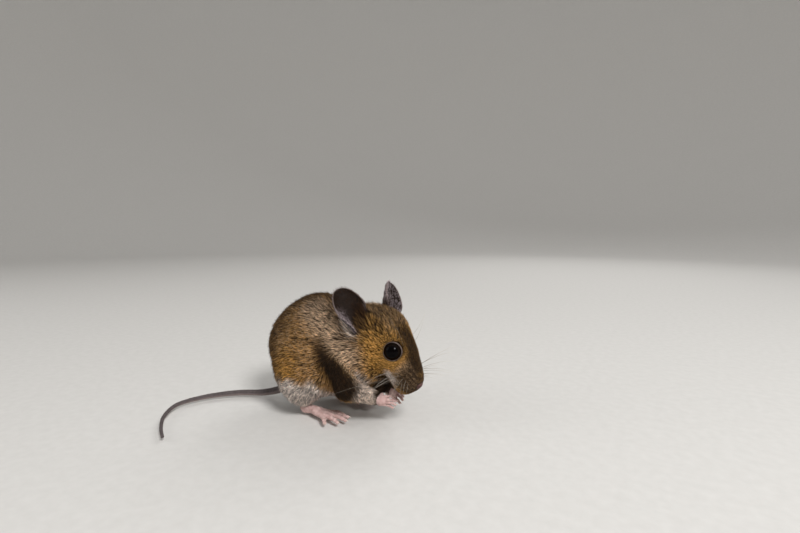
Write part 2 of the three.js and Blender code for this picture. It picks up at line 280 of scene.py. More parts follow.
# ---- The body's outline, out to the tips of the coat ----
torso = joined(
    [
        round_cone((-5, 0, 9.5), (-13, -1.6, 3.6), 3.8, 2),  # root of the tail
        ellipsoid((-3.4, 0, 20.2), (13, 13.2, 13.6)),  # rump
        ellipsoid((4.6, 0, 16.6), (13.6, 13.8, 13)),  # belly
        ellipsoid((3, 0, BACK_TOP - 15), (14, 11.5, 15)),  # back
        ellipsoid((14, 0, 21.5), (12, 10.5, 12.5), -20 * DEGREE),  # chest and shoulders
        ellipsoid((19.5, 0, 26.5), (8.5, 8, 8), -25 * DEGREE),  # neck
        round_cone((19, 0, 18), (26.4, 0, 11.8), 7, 3.8),  # throat
    ],
    5,
)
haunch = mirrored(
    joined(
        [
            ellipsoid((1.4, 10.3, 13.5), (9.8, 5, 10), 20 * DEGREE),  # thigh
            round_cone((1.9, 11, 9), (2.5, 9, 5.2), 4, 2.2),  # down to the heel
        ],
        4,
    )
)
arm = joined([round_cone(SHOULDER, ELBOW, 5.5, 3.9), round_cone(ELBOW, WRIST, 3.8, 1.9)], 2)
foreleg = mirrored(
    joined([arm, ellipsoid((23.4, 4.6, 17.4), (4.8, 4.2, 5))], 2)  # the loose coat between arm and throat
)
head = on_face(
    joined(
        [
            ellipsoid((0, 0, 0), (9.4, 7.8, 7.3)),  # braincase
            ellipsoid((5, 0, 2.2), (8.8, 6.2, 5.5)),  # forehead
            mirrored(ellipsoid((4.5, 4, -2), (7, 3.8, 4.6))),  # cheeks
            mirrored(ellipsoid((0.5, 3, 2.6), (5.5, 4, 5.2))),  # crown, in front of the ears
            ellipsoid((11, 0, -0.2), (8, 5.2, 4.7)),  # bridge of the nose
            round_cone((6, 0, -0.6), (NOSE_REACH - 3.3, 0, -1.6), 5.8, 3.2),  # muzzle
            mirrored(ellipsoid((NOSE_REACH - 4.4, 1.9, -3.6), (3.6, 2.3, 3.2))),  # whisker pads
            round_cone((3, 0, -5), (NOSE_REACH - 6.2, 0, -6.4), 4.2, 2),  # lower jaw
        ],
        2.5,
    )
)
body = joined([joined([torso, haunch, foreleg], 3), head], 3.5)

# ---- The skin's form ----
EYE_AXES = {
    name: unit(slope_of(body, (EYES[name] + outward((0, EYE_RADIUS, 0), side))[None])[1])[0]
    for name, side in SIDES.items()
}


def from_eyes(points):
    """How far each point is from the nearer eye's middle."""
    return np.min([np.linalg.norm(points - EYES[name], axis=1) for name in SIDES], axis=0)


def outline(points):
    """The coat's tips: the body, with a shallow dish round each eye."""
    return body(points) + 1.2 * (1 - ramp(EYE_RADIUS - 0.3, EYE_RADIUS + 1.5, from_eyes(points)))


def share_of_head(points):
    """1 on the head, 0 on the rest of the body."""
    return ramp(-2.5, 3.5, torso(points) - head(points))


def share_of_arm(points):
    return ramp(-1.5, 1.5, torso(points) - mirrored(arm)(points)) * (1 - share_of_head(points))


def from_joint(points, joint):
    """How far each point is from a joint of the limb on its own side."""
    return np.linalg.norm(points * (1, 0, 1) + np.abs(points) * (0, 1, 0) - joint, axis=1)


ANKLE = HEEL + (1.4, 0.6, 4.4)


def coat_depth(points):
    """How far the skin lies under the coat's tips."""
    along = head_places(points)[:, 0]
    face = blended(0.85, 0.22, ramp(0, 15, along)) * (1 - ramp(17, 19.6, along))
    face = face * blended(0.4, 1, ramp(EYE_RADIUS + 0.3, EYE_RADIUS + 2.6, from_eyes(points)))
    depth = blended(1.35, face, share_of_head(points))
    depth = depth * blended(1, 0.7, share_of_arm(points))
    depth = depth * blended(0.1, 1, ramp(0.8, 8, from_joint(points, WRIST)))
    return depth * blended(0.15, 1, ramp(0.8, 6.5, from_joint(points, ANKLE)))


def plain_skin(points):
    return outline(points) + coat_depth(points)


NOSE_PAD = (NOSE_REACH - 0.7, 0, -0.6)
nose_pad = on_face(ellipsoid(NOSE_PAD, (1.0, 1.45, 1.15)))
nostrils = on_face(
    mirrored(
        joined(
            [
                round_cone((NOSE_REACH + 0.5, 0.62, -0.75), (NOSE_REACH - 0.5, 1.0, -0.8), 0.27, 0.2),
                round_cone((NOSE_REACH - 0.2, 0.95, -0.6), (NOSE_REACH - 0.8, 1.6, -0.1), 0.2, 0.1),
            ],
            0.2,
        )
    )
)
lip_cleft = on_face(round_cone((NOSE_REACH + 0.4, 0, -1.3), (NOSE_REACH - 3.4, 0, -6.2), 0.14, 0.35))
mouth = on_face(
    mirrored(round_cone((NOSE_REACH - 4, 0, -6.3), (NOSE_REACH - 8.6, 2.9, -5.9), 0.36, 0.2))
)
skin_form = carved(
    carved(joined([plain_skin, nose_pad], 0.5), joined([nostrils, lip_cleft], 0.1), 0.16), mouth, 0.3
)


# ---- Meshes as arrays ----


def surface_of(field, low, high, cell):
    """Points and triangles of the closed surface where a field is zero, inside a box."""
    low, high = np.array(low, float), np.array(high, float)
    counts = np.ceil((high - low) / cell).astype(int) + 1
    lines = [low[axis] + cell * np.arange(counts[axis]) for axis in range(3)]
    grid = np.stack(np.meshgrid(*lines, indexing="ij"), -1)
    step = 4
    rough = grid[::step, ::step, ::step] + step * cell / 2
    rough = field(rough.reshape(-1, 3)).reshape(rough.shape[:3])
    for axis in range(3):
        rough = np.repeat(rough, step, axis).take(np.arange(counts[axis]), axis)
    values = np.where(rough < 0, -1.0, 1.0)
    near = np.abs(rough) < 1.2 * step * cell
    values[near] = field(grid[near])
    total = np.zeros((*(counts - 1), 3))
    crossings = np.zeros(counts - 1)
    for axis in range(3):
        first = [slice(None)] * 3
        second = [slice(None)] * 3
        first[axis], second[axis] = slice(0, -1), slice(1, None)
        a, b = values[tuple(first)], values[tuple(second)]
        crossed = (a < 0) != (b < 0)
        place = grid[tuple(first)].copy()
        place[..., axis] += cell * np.where(crossed, a / np.where(crossed, a - b, 1), 0)
        others = [other for other in range(3) if other != axis]
        for shifts in itertools.product((0, 1), repeat=2):
            edge = [slice(None)] * 3
            for other, shift in zip(others, shifts):
                edge[other] = slice(shift, counts[other] - 1 + shift)
            total += np.where(crossed[tuple(edge)][..., None], place[tuple(edge)], 0)
            crossings += crossed[tuple(edge)]
    number = np.full(counts - 1, -1)
    used = crossings > 0
    number[used] = np.arange(used.sum())
    points = total[used] / crossings[used][:, None]
    squares = []
    for axis in range(3):
        u, v = np.eye(3, dtype=int)[(axis + 1) % 3], np.eye(3, dtype=int)[(axis + 2) % 3]
        ahead = np.eye(3, dtype=int)[axis]
        inner = tuple(slice(1, count - 1) for count in counts)
        shifted = tuple(slice(1 + step, count - 1 + step) for count, step in zip(counts, ahead))
        here, there = values[inner], values[shifted]
        at = np.argwhere((here < 0) != (there < 0)) + 1
        square = np.stack([number[tuple((at - gap).T)] for gap in (u + v, v, 0 * u, u)], 1)
        outside = values[tuple(at.T)] >= 0
        square[outside] = square[outside][:, ::-1]
        squares.append(square)
    squares = np.concatenate(squares)
    triangles = np.concatenate([squares[:, (0, 1, 2)], squares[:, (0, 2, 3)]])
    return settled(field, points, farthest=cell * 0.4), triangles


def refined(points, triangles, chosen):
    """The same surface with each chosen triangle cut in four, and its neighbours cut to match."""
    edges = np.sort(triangles[:, ((0, 1), (1, 2), (2, 0))], axis=2)
    keys = edges[..., 0] * len(points) + edges[..., 1]
    split = np.unique(keys[chosen])
    found = np.searchsorted(split, keys)
    found[found == len(split)] = 0
    is_split = split[found] == keys
    middles = (points[split // len(points)] + points[split % len(points)]) / 2
    middle = np.where(is_split, found + len(points), -1)
    count = is_split.sum(1)
    made = [triangles[count == 0]]
    for row in range(3):
        turn = [row, (row + 1) % 3, (row + 2) % 3]
        only = (count == 1) & is_split[:, row]
        a, b, c = triangles[only][:, turn].T
        m = middle[only, row]
        made += [np.stack((a, m, c), 1), np.stack((m, b, c), 1)]
        both = (count == 2) & ~is_split[:, row]
        a, b, c = triangles[both][:, turn].T
        m, n = middle[both, turn[1]], middle[both, turn[2]]
        made += [np.stack((c, n, m), 1), np.stack((n, a, m), 1), np.stack((a, b, m), 1)]
    a, b, c = triangles[count == 3].T
    m, n, o = middle[count == 3].T
    made += [np.stack(three, 1) for three in ((a, m, o), (m, b, n), (o, n, c), (m, n, o))]
    return np.concatenate([points, middles]), np.concatenate(made)


def loft(rings):
    """Points and triangles of a closed form through rings of points, with a cap at each end."""
    rows, sides = rings.shape[:2]
    row, side = np.mgrid[0 : rows - 1, 0:sides]
    following = (side + 1) % sides
    a, b = row * sides + side, row * sides + following
    c, d = b + sides, a + sides
    walls = [np.stack((a, b, c), -1).reshape(-1, 3), np.stack((a, c, d), -1).reshape(-1, 3)]
    ends = rings[[0, -1]].mean(1)
    around = np.arange(sides)
    beside = (around + 1) % sides
    first = np.full(sides, rows * sides)
    last = (rows - 1) * sides
    caps = [np.stack((first, beside, around), 1), np.stack((first + 1, last + around, last + beside), 1)]
    return np.concatenate([rings.reshape(-1, 3), ends]), np.concatenate(walls + caps)


def normals_of(points, triangles):
    """The outward way at each point."""
    corners = points[triangles]
    faces = np.cross(corners[:, 1] - corners[:, 0], corners[:, 2] - corners[:, 0])
    total = np.zeros_like(points)
    for corner in range(3):
        for axis in range(3):
            total[:, axis] += np.bincount(triangles[:, corner], faces[:, axis], len(points))
    return unit(total)


def mesh_object(name, points, triangles, materials=(), smooth_faces=True):
    """A mesh object from points in the mouse's own frame."""
    mesh = bpy.data.meshes.new(name)
    mesh.vertices.add(len(points))
    mesh.vertices.foreach_set("co", placed(points).ravel())
    mesh.loops.add(triangles.size)
    mesh.loops.foreach_set("vertex_index", triangles.ravel().astype(np.int32))
    mesh.polygons.add(len(triangles))
    mesh.polygons.foreach_set("loop_start", np.arange(0, triangles.size, 3, dtype=np.int32))
    mesh.polygons.foreach_set("use_smooth", np.full(len(triangles), smooth_faces))
    for material in materials:
        mesh.materials.append(material)
    mesh.update(calc_edges=True)
    made = bpy.data.objects.new(name, mesh)
    bpy.context.collection.objects.link(made)
    return made


def set_attribute(piece, name, values, kind="FLOAT"):
    layer = piece.data.attributes.new(name, kind, "POINT")
    layer.data.foreach_set("vector" if kind == "FLOAT_VECTOR" else "value", np.ravel(values))


# ---- Bare parts: lids, ears, feet and tail ----


def mirrored_mesh(points, triangles):
    return points * (1, -1, 1), triangles[:, ::-1]


def across(axis):
    """Two unit vectors square to an axis and to each other."""
    first = unit(np.cross(axis, (0.0, 0.3, 1.0)))
    return first, np.cross(axis, first)


def lid(name):
    """The rim of skin that the eye looks out of, turned round the eye's axis."""
    axis = EYE_AXES[name]
    first, second = across(axis)
    steps = 64
    turns = np.arange(steps) / steps * 2 * math.pi
    opening = 66 * DEGREE + 3 * DEGREE * np.cos(turns) ** 4  # a little wider at the corners
    thick = 0.17
    clearance = 0.03  # between the globe and the lid
    section = []
    for angle in np.arange(10) / 10 * 2 * math.pi:
        radius = max(EYE_RADIUS + 0.08 + thick * math.cos(angle), EYE_RADIUS + clearance)
        section.append((opening + thick * 1.2 / EYE_RADIUS * math.sin(angle), radius))
    rings = []
    for tilt, radius in section:
        side = first * np.cos(turns)[:, None] + second * np.sin(turns)[:, None]
        rings.append(EYES[name] + radius * (axis * np.cos(tilt)[:, None] + side * np.sin(tilt)[:, None]))
    return ring_shell(np.stack(rings, 1))


def ring_shell(rings):
    """A closed ring through closed sections, such as a rim or a hoop."""
    rows, sides = rings.shape[:2]
    row, side = np.mgrid[0:rows, 0:sides]
    here, there = row * sides, (row + 1) % rows * sides
    following = (side + 1) % sides
    a, b, c, d = here + side, here + following, there + following, there + side
    walls = [np.stack((a, b, c), -1).reshape(-1, 3), np.stack((a, c, d), -1).reshape(-1, 3)]
    return facing_out(rings.reshape(-1, 3), np.concatenate(walls))


def facing_out(points, triangles):
    """The same closed surface with its faces pointing out."""
    a, b, c = (points[triangles[:, corner]] for corner in range(3))
    volume = (np.cross(a, b) * c).sum()
    return points, triangles if volume > 0 else triangles[:, ::-1]


def ear_frame(name, side):
    """The ear's root, and the ways along it, across it and out of its opening."""
    turn = turned_about_z(HEAD_TURN)
    axis = unit(turn @ np.array(EARS[name]["axis"]))
    opening = turn @ unit(np.array(EARS[name]["opening"]))
    opening = unit(opening - axis * (opening @ axis))
    return on_head(outward(EARS[name]["root"], side)), axis, np.cross(opening, axis), opening


def ear_leaf(name, side, along, turned):
    """Points halfway through the ear's wall: along from 0 to 1, turned from -1 to 1."""
    root, axis, across_ear, opening = ear_frame(name, side)
    wrap = blended(EAR_WRAP["root"], EAR_WRAP["tip"], np.maximum(along, 0) ** 0.6)
    flare = 0.88 + 0.12 * np.sin(np.clip(along / 0.4, 0, 1) * math.pi / 2)
    flare = flare * blended(0.5, 1, ramp(-0.25, 0.5, along))
    rounding = np.sqrt(1 - 0.995 * np.clip((along - 0.3) / 0.7, 0, 1) ** 2.4)
    radius = EAR_WIDTH / 2 * flare * rounding / np.sin(np.minimum(wrap, math.pi / 2))
    ripple = 0.1 * np.sin(along * 26) * np.sin(turned * 4 + 1) * ramp(0.15, 0.4, along) * (1 - turned**4)
    lip = 0.45 * np.abs(turned) ** 7 * ramp(0.0, 0.3, along)
    sideways = (radius - ripple) * np.sin(wrap * turned) * (1 - 0.12 * lip)
    forward = radius - (radius - ripple) * np.cos(wrap * turned) - EAR_CURL * along**2 + lip
    parts = ((along * EAR_LENGTH, axis), (sideways, across_ear), (forward, opening))
    return root + sum(amount[..., None] * way for amount, way in parts)


EAR_ROWS = 56
EAR_HALF = 40  # points across one face of the ear


def ear_grid():
    """How far along the ear each row of points is, and how far round each point of a face is."""
    along = blended(-0.16, 1, np.linspace(0, 1, EAR_ROWS) ** 0.9)
    return along[:, None], np.sin(np.linspace(-math.pi / 2, math.pi / 2, EAR_HALF))[None]


def over_ear(values):
    """Values on a grid over one face of the ear, for each point of the whole ear."""
    face = np.broadcast_to(values, (EAR_ROWS, EAR_HALF))
    return np.concatenate([np.concatenate([face, face[:, ::-1]], 1).ravel(), face[[0, -1]].mean(1)])


def ear(name, side):
    """A cupped leaf of skin with a rounded rim, faint ripples inside and lips turned in."""
    along, turned = ear_grid()
    middle = ear_leaf(name, side, along, turned)
    reach = 1e-3
    way_along = ear_leaf(name, side, along + reach * (1 - 2 * (along > 0.5)), turned) - middle
    way_along = way_along * (1 - 2 * (along > 0.5))[..., None]
    way_round = ear_leaf(name, side, along, turned + reach * (1 - 2 * (turned > 0))) - middle
    way_round = way_round * (1 - 2 * (turned > 0))[..., None]
    wall = unit(np.cross(way_along, way_round))
    thick = EAR_WALL / 2 * blended(1.5, 0.8, along) * np.sqrt(np.clip(1 - turned**8, 0.05, 1))
    thick = (thick * np.sqrt(np.clip(1.02 - np.clip(along, 0, 1) ** 16, 0.02, 1)))[..., None]
    rings = np.concatenate([middle + wall * thick, (middle - wall * thick)[:, ::-1]], 1)
    return facing_out(*loft(rings))


def digit(path, radii, blend=0.25):
    """A finger or toe: bones with a swelling at each joint."""
    bones = [
        round_cone(path[i], path[i + 1], radii[i] * 0.94, radii[i + 1] * 0.9) for i in range(len(path) - 1)
    ]
    knuckles = [ellipsoid(place, [radius * 1.04] * 3) for place, radius in zip(path[1:], radii[1:])]
    return joined(bones + knuckles, blend)


def finger_path(finger, reach):
    """From the palm to where the claw starts."""
    spread = 1.4 - finger * 0.95
    places = (
        (1.7, -0.7, spread * 0.7 - 0.5),
        (reach - 2.3, -1.2 - finger * 0.15, spread * 0.95 - 0.35),
        (reach - 1.0, -2.0 - finger * 0.1, spread * 1.15 - 0.5),
        (reach - 0.3, -2.5, spread * 1.2 - 0.9),
    )
    return [WRIST + place for place in places]


def toe_path(root, reach, splay):
    """From the middle of the sole to where the claw starts."""
    way = np.array((math.cos(splay), math.sin(splay), 0))
    start = HEEL + (*root, 0)
    lengths_and_heights = ((0, 1.0), (0.34, 1.05), (0.62, 0.95), (0.83, 0.62))
    places = [start + way * reach * share + (0, 0, height) for share, height in lengths_and_heights]
    return [HEEL + (5.5, root[1] * 0.55, 1.3), *places]


def hand():
    """The left forefoot, held palm inwards."""
    palm = [
        round_cone(WRIST + (-3.4, 0.8, 0.5), WRIST + (0.3, 0, 0), 1.45, 1.2),
        round_cone(WRIST + (0.3, 0, 0), WRIST + (2.1, -0.6, -0.3), 1.2, 1.5),
        ellipsoid(WRIST + (1.2, -1.5, -1.2), (0.8, 0.6, 0.7)),  # heel pads
        ellipsoid(WRIST + (1.4, -1.6, 0.3), (0.7, 0.6, 0.6)),
        round_cone(WRIST + (1.2, -1.2, 0.6), WRIST + (1.9, -1.9, 1.3), 0.55, 0.4),  # the stub of a thumb
    ]
    fingers = [
        digit(finger_path(finger, reach), (0.66, 0.45, 0.4, 0.36))
        for finger, reach in enumerate(FINGER_REACHES)
    ]
    form = joined([joined(palm, 0.8), joined(fingers, 0.1)], 0.35)
    return surface_of(form, WRIST + (-5.4, -5.4, -4.4), WRIST + (8, 3, 3.8), 0.16)


def foot():
    """The left hind foot: a long flat sole with five splayed toes."""
    sole = [
        round_cone((2.4, 9, 6.4), HEEL + (0.9, 0, 1.9), 1.7, 1.45),
        round_cone(HEEL + (0.5, 0, 1.5), HEEL + (6, 0.1, 1.35), 1.4, 1.35),
        ellipsoid(HEEL + (8.6, 0.2, 0.95), (3.6, 2.1, 0.95)),
        ellipsoid(HEEL + (1.4, 0, 0.7), (1.5, 1.1, 0.7)),
    ]
    toes = [
        digit(toe_path(toe["root"], toe["reach"], toe["splay"]), (0.95, 0.82, 0.62, 0.6, 0.52))
        for toe in TOES
    ]
    form = joined([joined(sole, 1.0), joined(toes, 0.2)], 0.7)

    def standing(points):
        return np.maximum(form(points), 0.01 - points[:, 2])

    return surface_of(standing, HEEL + (-2.4, -6, -0.6), HEEL + (19.5, 8, 9.4), 0.2)


def tail_curve(count):
    """Points evenly spaced along the tail, with the share of the way to its tip."""
    points = np.array(TAIL_POINTS, float)
    points = np.vstack([2 * points[0] - points[1], points, 2 * points[-1] - points[-2]])
    fine = []
    for a, b, c, d in zip(points, points[1:], points[2:], points[3:]):
        gaps = [math.sqrt(np.linalg.norm(second - first)) for first, second in ((a, b), (b, c), (c, d))]
        leave = (b - a) / gaps[0] - (c - a) / (gaps[0] + gaps[1]) + (c - b) / gaps[1]
        arrive = (c - b) / gaps[1] - (d - b) / (gaps[1] + gaps[2]) + (d - c) / gaps[2]
        leave, arrive = leave * gaps[1], arrive * gaps[1]
        t = np.linspace(0, 1, 60, endpoint=False)[:, None]
        start = (2 * t**3 - 3 * t**2 + 1) * b + (t**3 - 2 * t**2 + t) * leave
        fine.append(start + (3 * t**2 - 2 * t**3) * c + (t**3 - t**2) * arrive)
    fine = np.vstack([*fine, points[-2]])
    run = np.concatenate([[0], np.cumsum(np.linalg.norm(np.diff(fine, axis=0), axis=1))])
    shares = np.linspace(0, 1, count)
    return np.stack([np.interp(shares * run[-1], run, fine[:, axis]) for axis in range(3)], 1), shares


def tail(rings):
    """A tapering tail with a fine ridge for each ring of scales, flattened where it lies on the ground."""
    steps_per_ring, sides = 4, 14
    path, shares = tail_curve(rings * steps_per_ring + 1)
    way = unit(np.gradient(path, axis=0))
    side = unit(np.cross(way, (0, 0, 1)))
    rise = np.cross(side, way)
    radius = blended(TAIL_TIP_RADIUS, TAIL_ROOT_RADIUS, (1 - shares) ** 1.6)
    phase = np.arange(len(shares)) % steps_per_ring / steps_per_ring
    radius = radius * (1 + 0.07 * (phase - 0.35)) * blended(0.3, 1, ramp(1, 0.992, shares))
    turns = np.arange(sides) / sides * 2 * math.pi
    spokes = side[:, None] * np.sin(turns)[:, None] + rise[:, None] * np.cos(turns)[:, None]
    places = path[:, None] + radius[:, None, None] * spokes
    places[..., 2] = np.maximum(places[..., 2], 0.02)
    start = places[:1] - way[0] * 4
    return facing_out(*loft(np.concatenate([start, places])))


# ---- Markings, painted shade and sheen, and lie of the coat ----


def waviness(points, length):
    """Three smooth waves that don't repeat in step, each from -1 to 1, about a length apart."""
    ways = np.array(((0.9, 0.5, -0.4), (-0.3, 1.0, 0.6), (0.5, -0.6, 0.9)))
    phases = (points @ ways.T) * (2 * math.pi / length)
    return np.sin(phases + 1.7 * np.sin(phases[:, (1, 2, 0)] * 0.61 + (0.4, 1.9, 3.1)))


Spots = collections.namedtuple("Spots", "both x y z along side up wave face arm")

CHEST = ellipsoid((20, 0, 9), (8, 5.5, 6))
THROAT_SIDE = ellipsoid((24.6, 6.4, 13.6), (1.8, 2.2, 3.6), 20 * DEGREE)
SHOULDER_SHEEN = round_cone((7, 7, 34), (22, 9.5, 21), 4.6, 4.2)  # painted sheen, from the nape down over the shoulder
FURROW_SHADE = round_cone((11.8, 12, 24.8), (19.8, 12.8, 12.6), 2.4, 4.4)  # painted shade in the crease behind the foreleg
EAR_SHADOW = round_cone((15.4, 7.6, 33), (18.8, 8.6, 30), 2.3, 1.6)  # painted shadow that the ear casts behind its root
COLLAR = ellipsoid((20.8, 8.8, 28), (3.4, 3, 1.2), -35 * DEGREE)  # a pale streak under the ear


def spots_of(points):
    """What the markings are worked out from: each point's places, and the parts that it is on."""
    both = points * (1, 0, 1) + np.abs(points) * (0, 1, 0)
    along, side, up = head_places(points).T
    wave = waviness(points, 7).mean(1)
    return Spots(
        both, *both.T, along, np.abs(side), up, wave, share_of_head(points), share_of_arm(points)
    )


def lip_marks(spots):
    lips = ramp(10.5, 12.6, spots.along) * (1 - ramp(15, 17.6, spots.along))
    lips = lips * ramp(-1.1, -2.6, spots.up + spots.wave * 0.5)
    return lips * ramp(-6.6, -4.6, spots.up)


def shoulder_sheen_marks(spots):
    # painted sheen on the shoulders
    return 1 - ramp(-3, 3, SHOULDER_SHEEN(spots.both))


def pale_marks(spots):
    """Belly, chest, throat, lower forelegs and lips."""
    x, z = spots.x, spots.z
    edge = z + spots.wave * 1.2 + 0.1 * np.maximum(-x, 0) + 1.4 * np.maximum(x - 9.5, 0)
    underside = 1 - ramp(11.5, 15, edge)
    chest = (1 - ramp(-1.5, 1.5, CHEST(spots.both))) * (1 - ramp(23.5, 25.5, x))
    throat = 1 - ramp(-0.8, 1.4, THROAT_SIDE(spots.both))
    sleeve = spots.arm * ramp(18.5, 15, z) * ramp(19, 23, x) * 0.75
    return blended(np.maximum.reduce([underside, chest, throat * 0.75, sleeve]), lip_marks(spots), spots.face)


def dark_mask(spots):
    """Bridge of the nose, whisker pads, chin and forehead."""
    along, side, up = spots.along, spots.side, spots.up
    bridge = (1 - ramp(1.6, 5.2, side)) * ramp(0.6, 2.6, up) * (0.7 + 0.25 * ramp(2, 8, along))
    rows = 0.5 + 0.5 * np.sin(7 * up + 1.5 * along + 1.5 * spots.wave)
    pad = ramp(12.6, 16.2, along) * ramp(-4.8, -2.6, up) * (0.74 + 0.2 * rows) * (1 - lip_marks(spots))
    chin = ramp(-4.6, -6.4, up) * (1 - ramp(3.5, 6, side)) * ramp(8.5, 10, along)
    forehead = ramp(8, 1, along) * ramp(1.6, 4, up) * 0.68
    return np.maximum.reduce([bridge, pad, chin, forehead])


def dusk_marks(spots):
    """Spine, the rump's dark rear and the dark mask, with painted shade on the rump's edge, behind the
    foreleg, under the chin and behind the ear.
    """
    x, y, z, wave = spots.x, spots.y, spots.z, spots.wave
    # the dark spine is lighter under the painted sheen on the shoulders
    spine = (1 - ramp(3, 11, y + wave)) * ramp(16, 24, z) * (0.82 - 0.35 * shoulder_sheen_marks(spots))
    spine = spine * (1 - 0.4 * ramp(8, 14, x))
    # dark fur of the back, deepened along the rump's rear edge as painted shade
    stern_and_shade = ramp(1.5, -7, x + 0.5 * wave) * ramp(3, 9, z) * 0.72
    stern_and_shade = np.maximum(stern_and_shade, ramp(5, -5, x + 0.5 * wave) * ramp(20, 30, z) * 0.7)
    # painted shade: darkens the coat in the crease behind the foreleg
    furrow_shade = 1 - ramp(-1.8, 1.8, FURROW_SHADE(spots.both))
    # painted shade under the chin, between the jaw and the forefeet
    shade_under_chin = ramp(25.4, 27, x) * ramp(15.5, 13.5, z) * ramp(7, 5.4, y)
    trunk = np.maximum.reduce([spine, stern_and_shade, furrow_shade, shade_under_chin])
    # painted shadow of the ear, behind its root
    ear_shadow = 1 - ramp(-0.9, 1.1, EAR_SHADOW(spots.both))
    return np.maximum(blended(trunk, dark_mask(spots), spots.face), ear_shadow)


def ash_marks(spots):
    """Painted sheen on the shoulders, with the crown and the sides of the whisker pads."""
    along, side, up = spots.along, spots.side, spots.up
    crown = (1 - ramp(3, 6, along)) * ramp(3, 5, up) * (1 - ramp(4, 6, side)) * 0.45
    moustache = ramp(12.5, 15, along) * ramp(-3.4, -2.2, up) * ramp(0.5, 2, side) * 0.7
    return blended(shoulder_sheen_marks(spots), np.maximum(crown, moustache), spots.face)


def fox_marks(spots):
    """Rump, forelegs and cheeks."""
    rump = (1 - ramp(2, 9, spots.x)) * (0.15 + 0.75 * ramp(25, 16, spots.z))
    cheeks = 0.8 - 0.4 * ramp(13, 18, spots.along)
    return blended(np.maximum(rump, spots.arm * 0.5), cheeks, spots.face)


def markings(points):
    """How pale, dusky, ashen and rusty the coat is, each from 0 to 1; the dusk also paints shade and the ash
    a sheen.
    """
    spots = spots_of(points)
    collar = 1 - ramp(-0.8, 1.2, COLLAR(spots.both))
    pale = np.maximum(pale_marks(spots), collar * 0.9)
    ear_roots = near_ears(points) * ramp(-6.5, -4, spots.along) * 0.9
    dusk = np.maximum(dusk_marks(spots), ear_roots) * (1 - 0.8 * collar)
    return np.stack([pale, dusk, ash_marks(spots), fox_marks(spots)], 1)


def lie_of_coat(points, normals):
    """Unit vectors along the skin, the way the hair lies."""
    both = points * (1, 0, 1) + np.abs(points) * (0, 1, 0)
    mirror = np.where(points[:, 1:2] < 0, (1, -1, 1), (1, 1, 1))
    x, y, z = both.T[..., None]

    down = ramp(5, -13, x)
    flow = (1 - down) * (-1, 0, 0) + down * (-0.25, 0, -1)
    flow = flow + ramp(26, 8, z) * ramp(4, 11, y) * (0, 0, -0.55)
    to_heel = unit(ANKLE - both)
    flow = flow + to_heel * 1.2 * (1 - ramp(4, 13, np.linalg.norm(ANKLE - both, axis=1)))[:, None]
    to_tail = unit(np.array((-13, 0, 3)) - both)
    flow = flow + to_tail * 1.4 * (1 - ramp(2, 9, np.linalg.norm(both - (-10, 0, 6), axis=1)))[:, None]

    nearer_forearm = round_cone(SHOULDER, ELBOW, 0, 0)(both) - round_cone(ELBOW, WRIST, 0, 0)(both)
    on_upper_arm = 1 - ramp(3.5, -2.5, nearer_forearm)[:, None]
    limb = blended(unit(ELBOW - SHOULDER), unit(WRIST - ELBOW) + (0.1, 0, -0.55), on_upper_arm)
    flow = blended(flow, limb, share_of_arm(points)[:, None] * 0.9)

    from_nose = unit(points - on_head((NOSE_REACH - 0.5, 0, -0.6)))
    swept = from_nose + HEAD_AXES @ np.array((-0.5, 0, 0))
    flow = blended(unit(flow) * mirror, unit(swept), share_of_head(points)[:, None])

    for name in SIDES:
        aside = points - EYES[name]
        near = 1 - ramp(EYE_RADIUS - 0.3, EYE_RADIUS + 3.5, np.linalg.norm(aside, axis=1))
        flow = flow + unit(aside) * (near * 1.3)[:, None]
    for name, side in SIDES.items():
        root, axis, _, _ = ear_frame(name, side)
        near = 1 - ramp(3, 7.5, np.linalg.norm(points - root, axis=1))
        flow = flow + axis * (near * 1.3)[:, None]
    flow = flow + 0.16 * waviness(points, 9)
    return unit(flow - normals * (flow * normals).sum(1, keepdims=True))


def near_ears(points):
    """1 at the root of an ear, 0 well away from it."""
    gaps = [np.linalg.norm(points - ear_frame(name, side)[0], axis=1) for name, side in SIDES.items()]
    return 1 - ramp(4, 8, np.min(gaps, axis=0))


def size_of_locks(points):
    """The locks' size: full on the back, small on the face and feet."""
    along = head_places(points)[:, 0]
    face = blended(0.8, 0.36, ramp(-2, 17, along)) + 0.2 * near_ears(points)
    face = face * blended(0.42, 1, ramp(EYE_RADIUS, EYE_RADIUS + 3, from_eyes(points)))
    size = blended(1, face, share_of_head(points))
    size = size * blended(1, 0.75, share_of_arm(points))
    size = size * blended(0.45, 1, ramp(0.5, 7, from_joint(points, WRIST)))
    return size * blended(0.4, 1, ramp(0.5, 6, from_joint(points, ANKLE)))


def is_furred(points):
    """True where hair grows on the body: not on the nose pad, nor in the eyes and mouth."""
    pad = nose_pad(points) > 0.12
    lips = mouth(points) > 0.1
    return pad & lips & (from_eyes(points) > EYE_RADIUS + 0.45)


# ---- The body's skin, and the coat that grows on it ----
CELL = 0.5  # facet size of the body's skin
REGIONS = ("head", "forequarter", "back", "haunch")


@functools.cache
def body_skin():
    """Points, triangles and outward ways of the body's skin, finer on the muzzle and round the eyes."""
    points, triangles = surface_of(plain_skin, (-22, -19, -3), (46, 19, 43), CELL)
    for nearest, round_eyes, farthest in ((12.5, 1.5, 0.4), (17, 1.0, 0.2)):
        middles = points[triangles].mean(1)
        fine = head_places(middles)[:, 0] > nearest
        fine |= from_eyes(middles) < EYE_RADIUS + round_eyes
        points, triangles = refined(points, triangles, fine)
        fine = head_places(points)[:, 0] > nearest - 1
        fine |= from_eyes(points) < EYE_RADIUS + round_eyes + 1
        points[fine] = settled(skin_form, points[fine], passes=2, farthest=farthest)
    return points, triangles, normals_of(points, triangles)


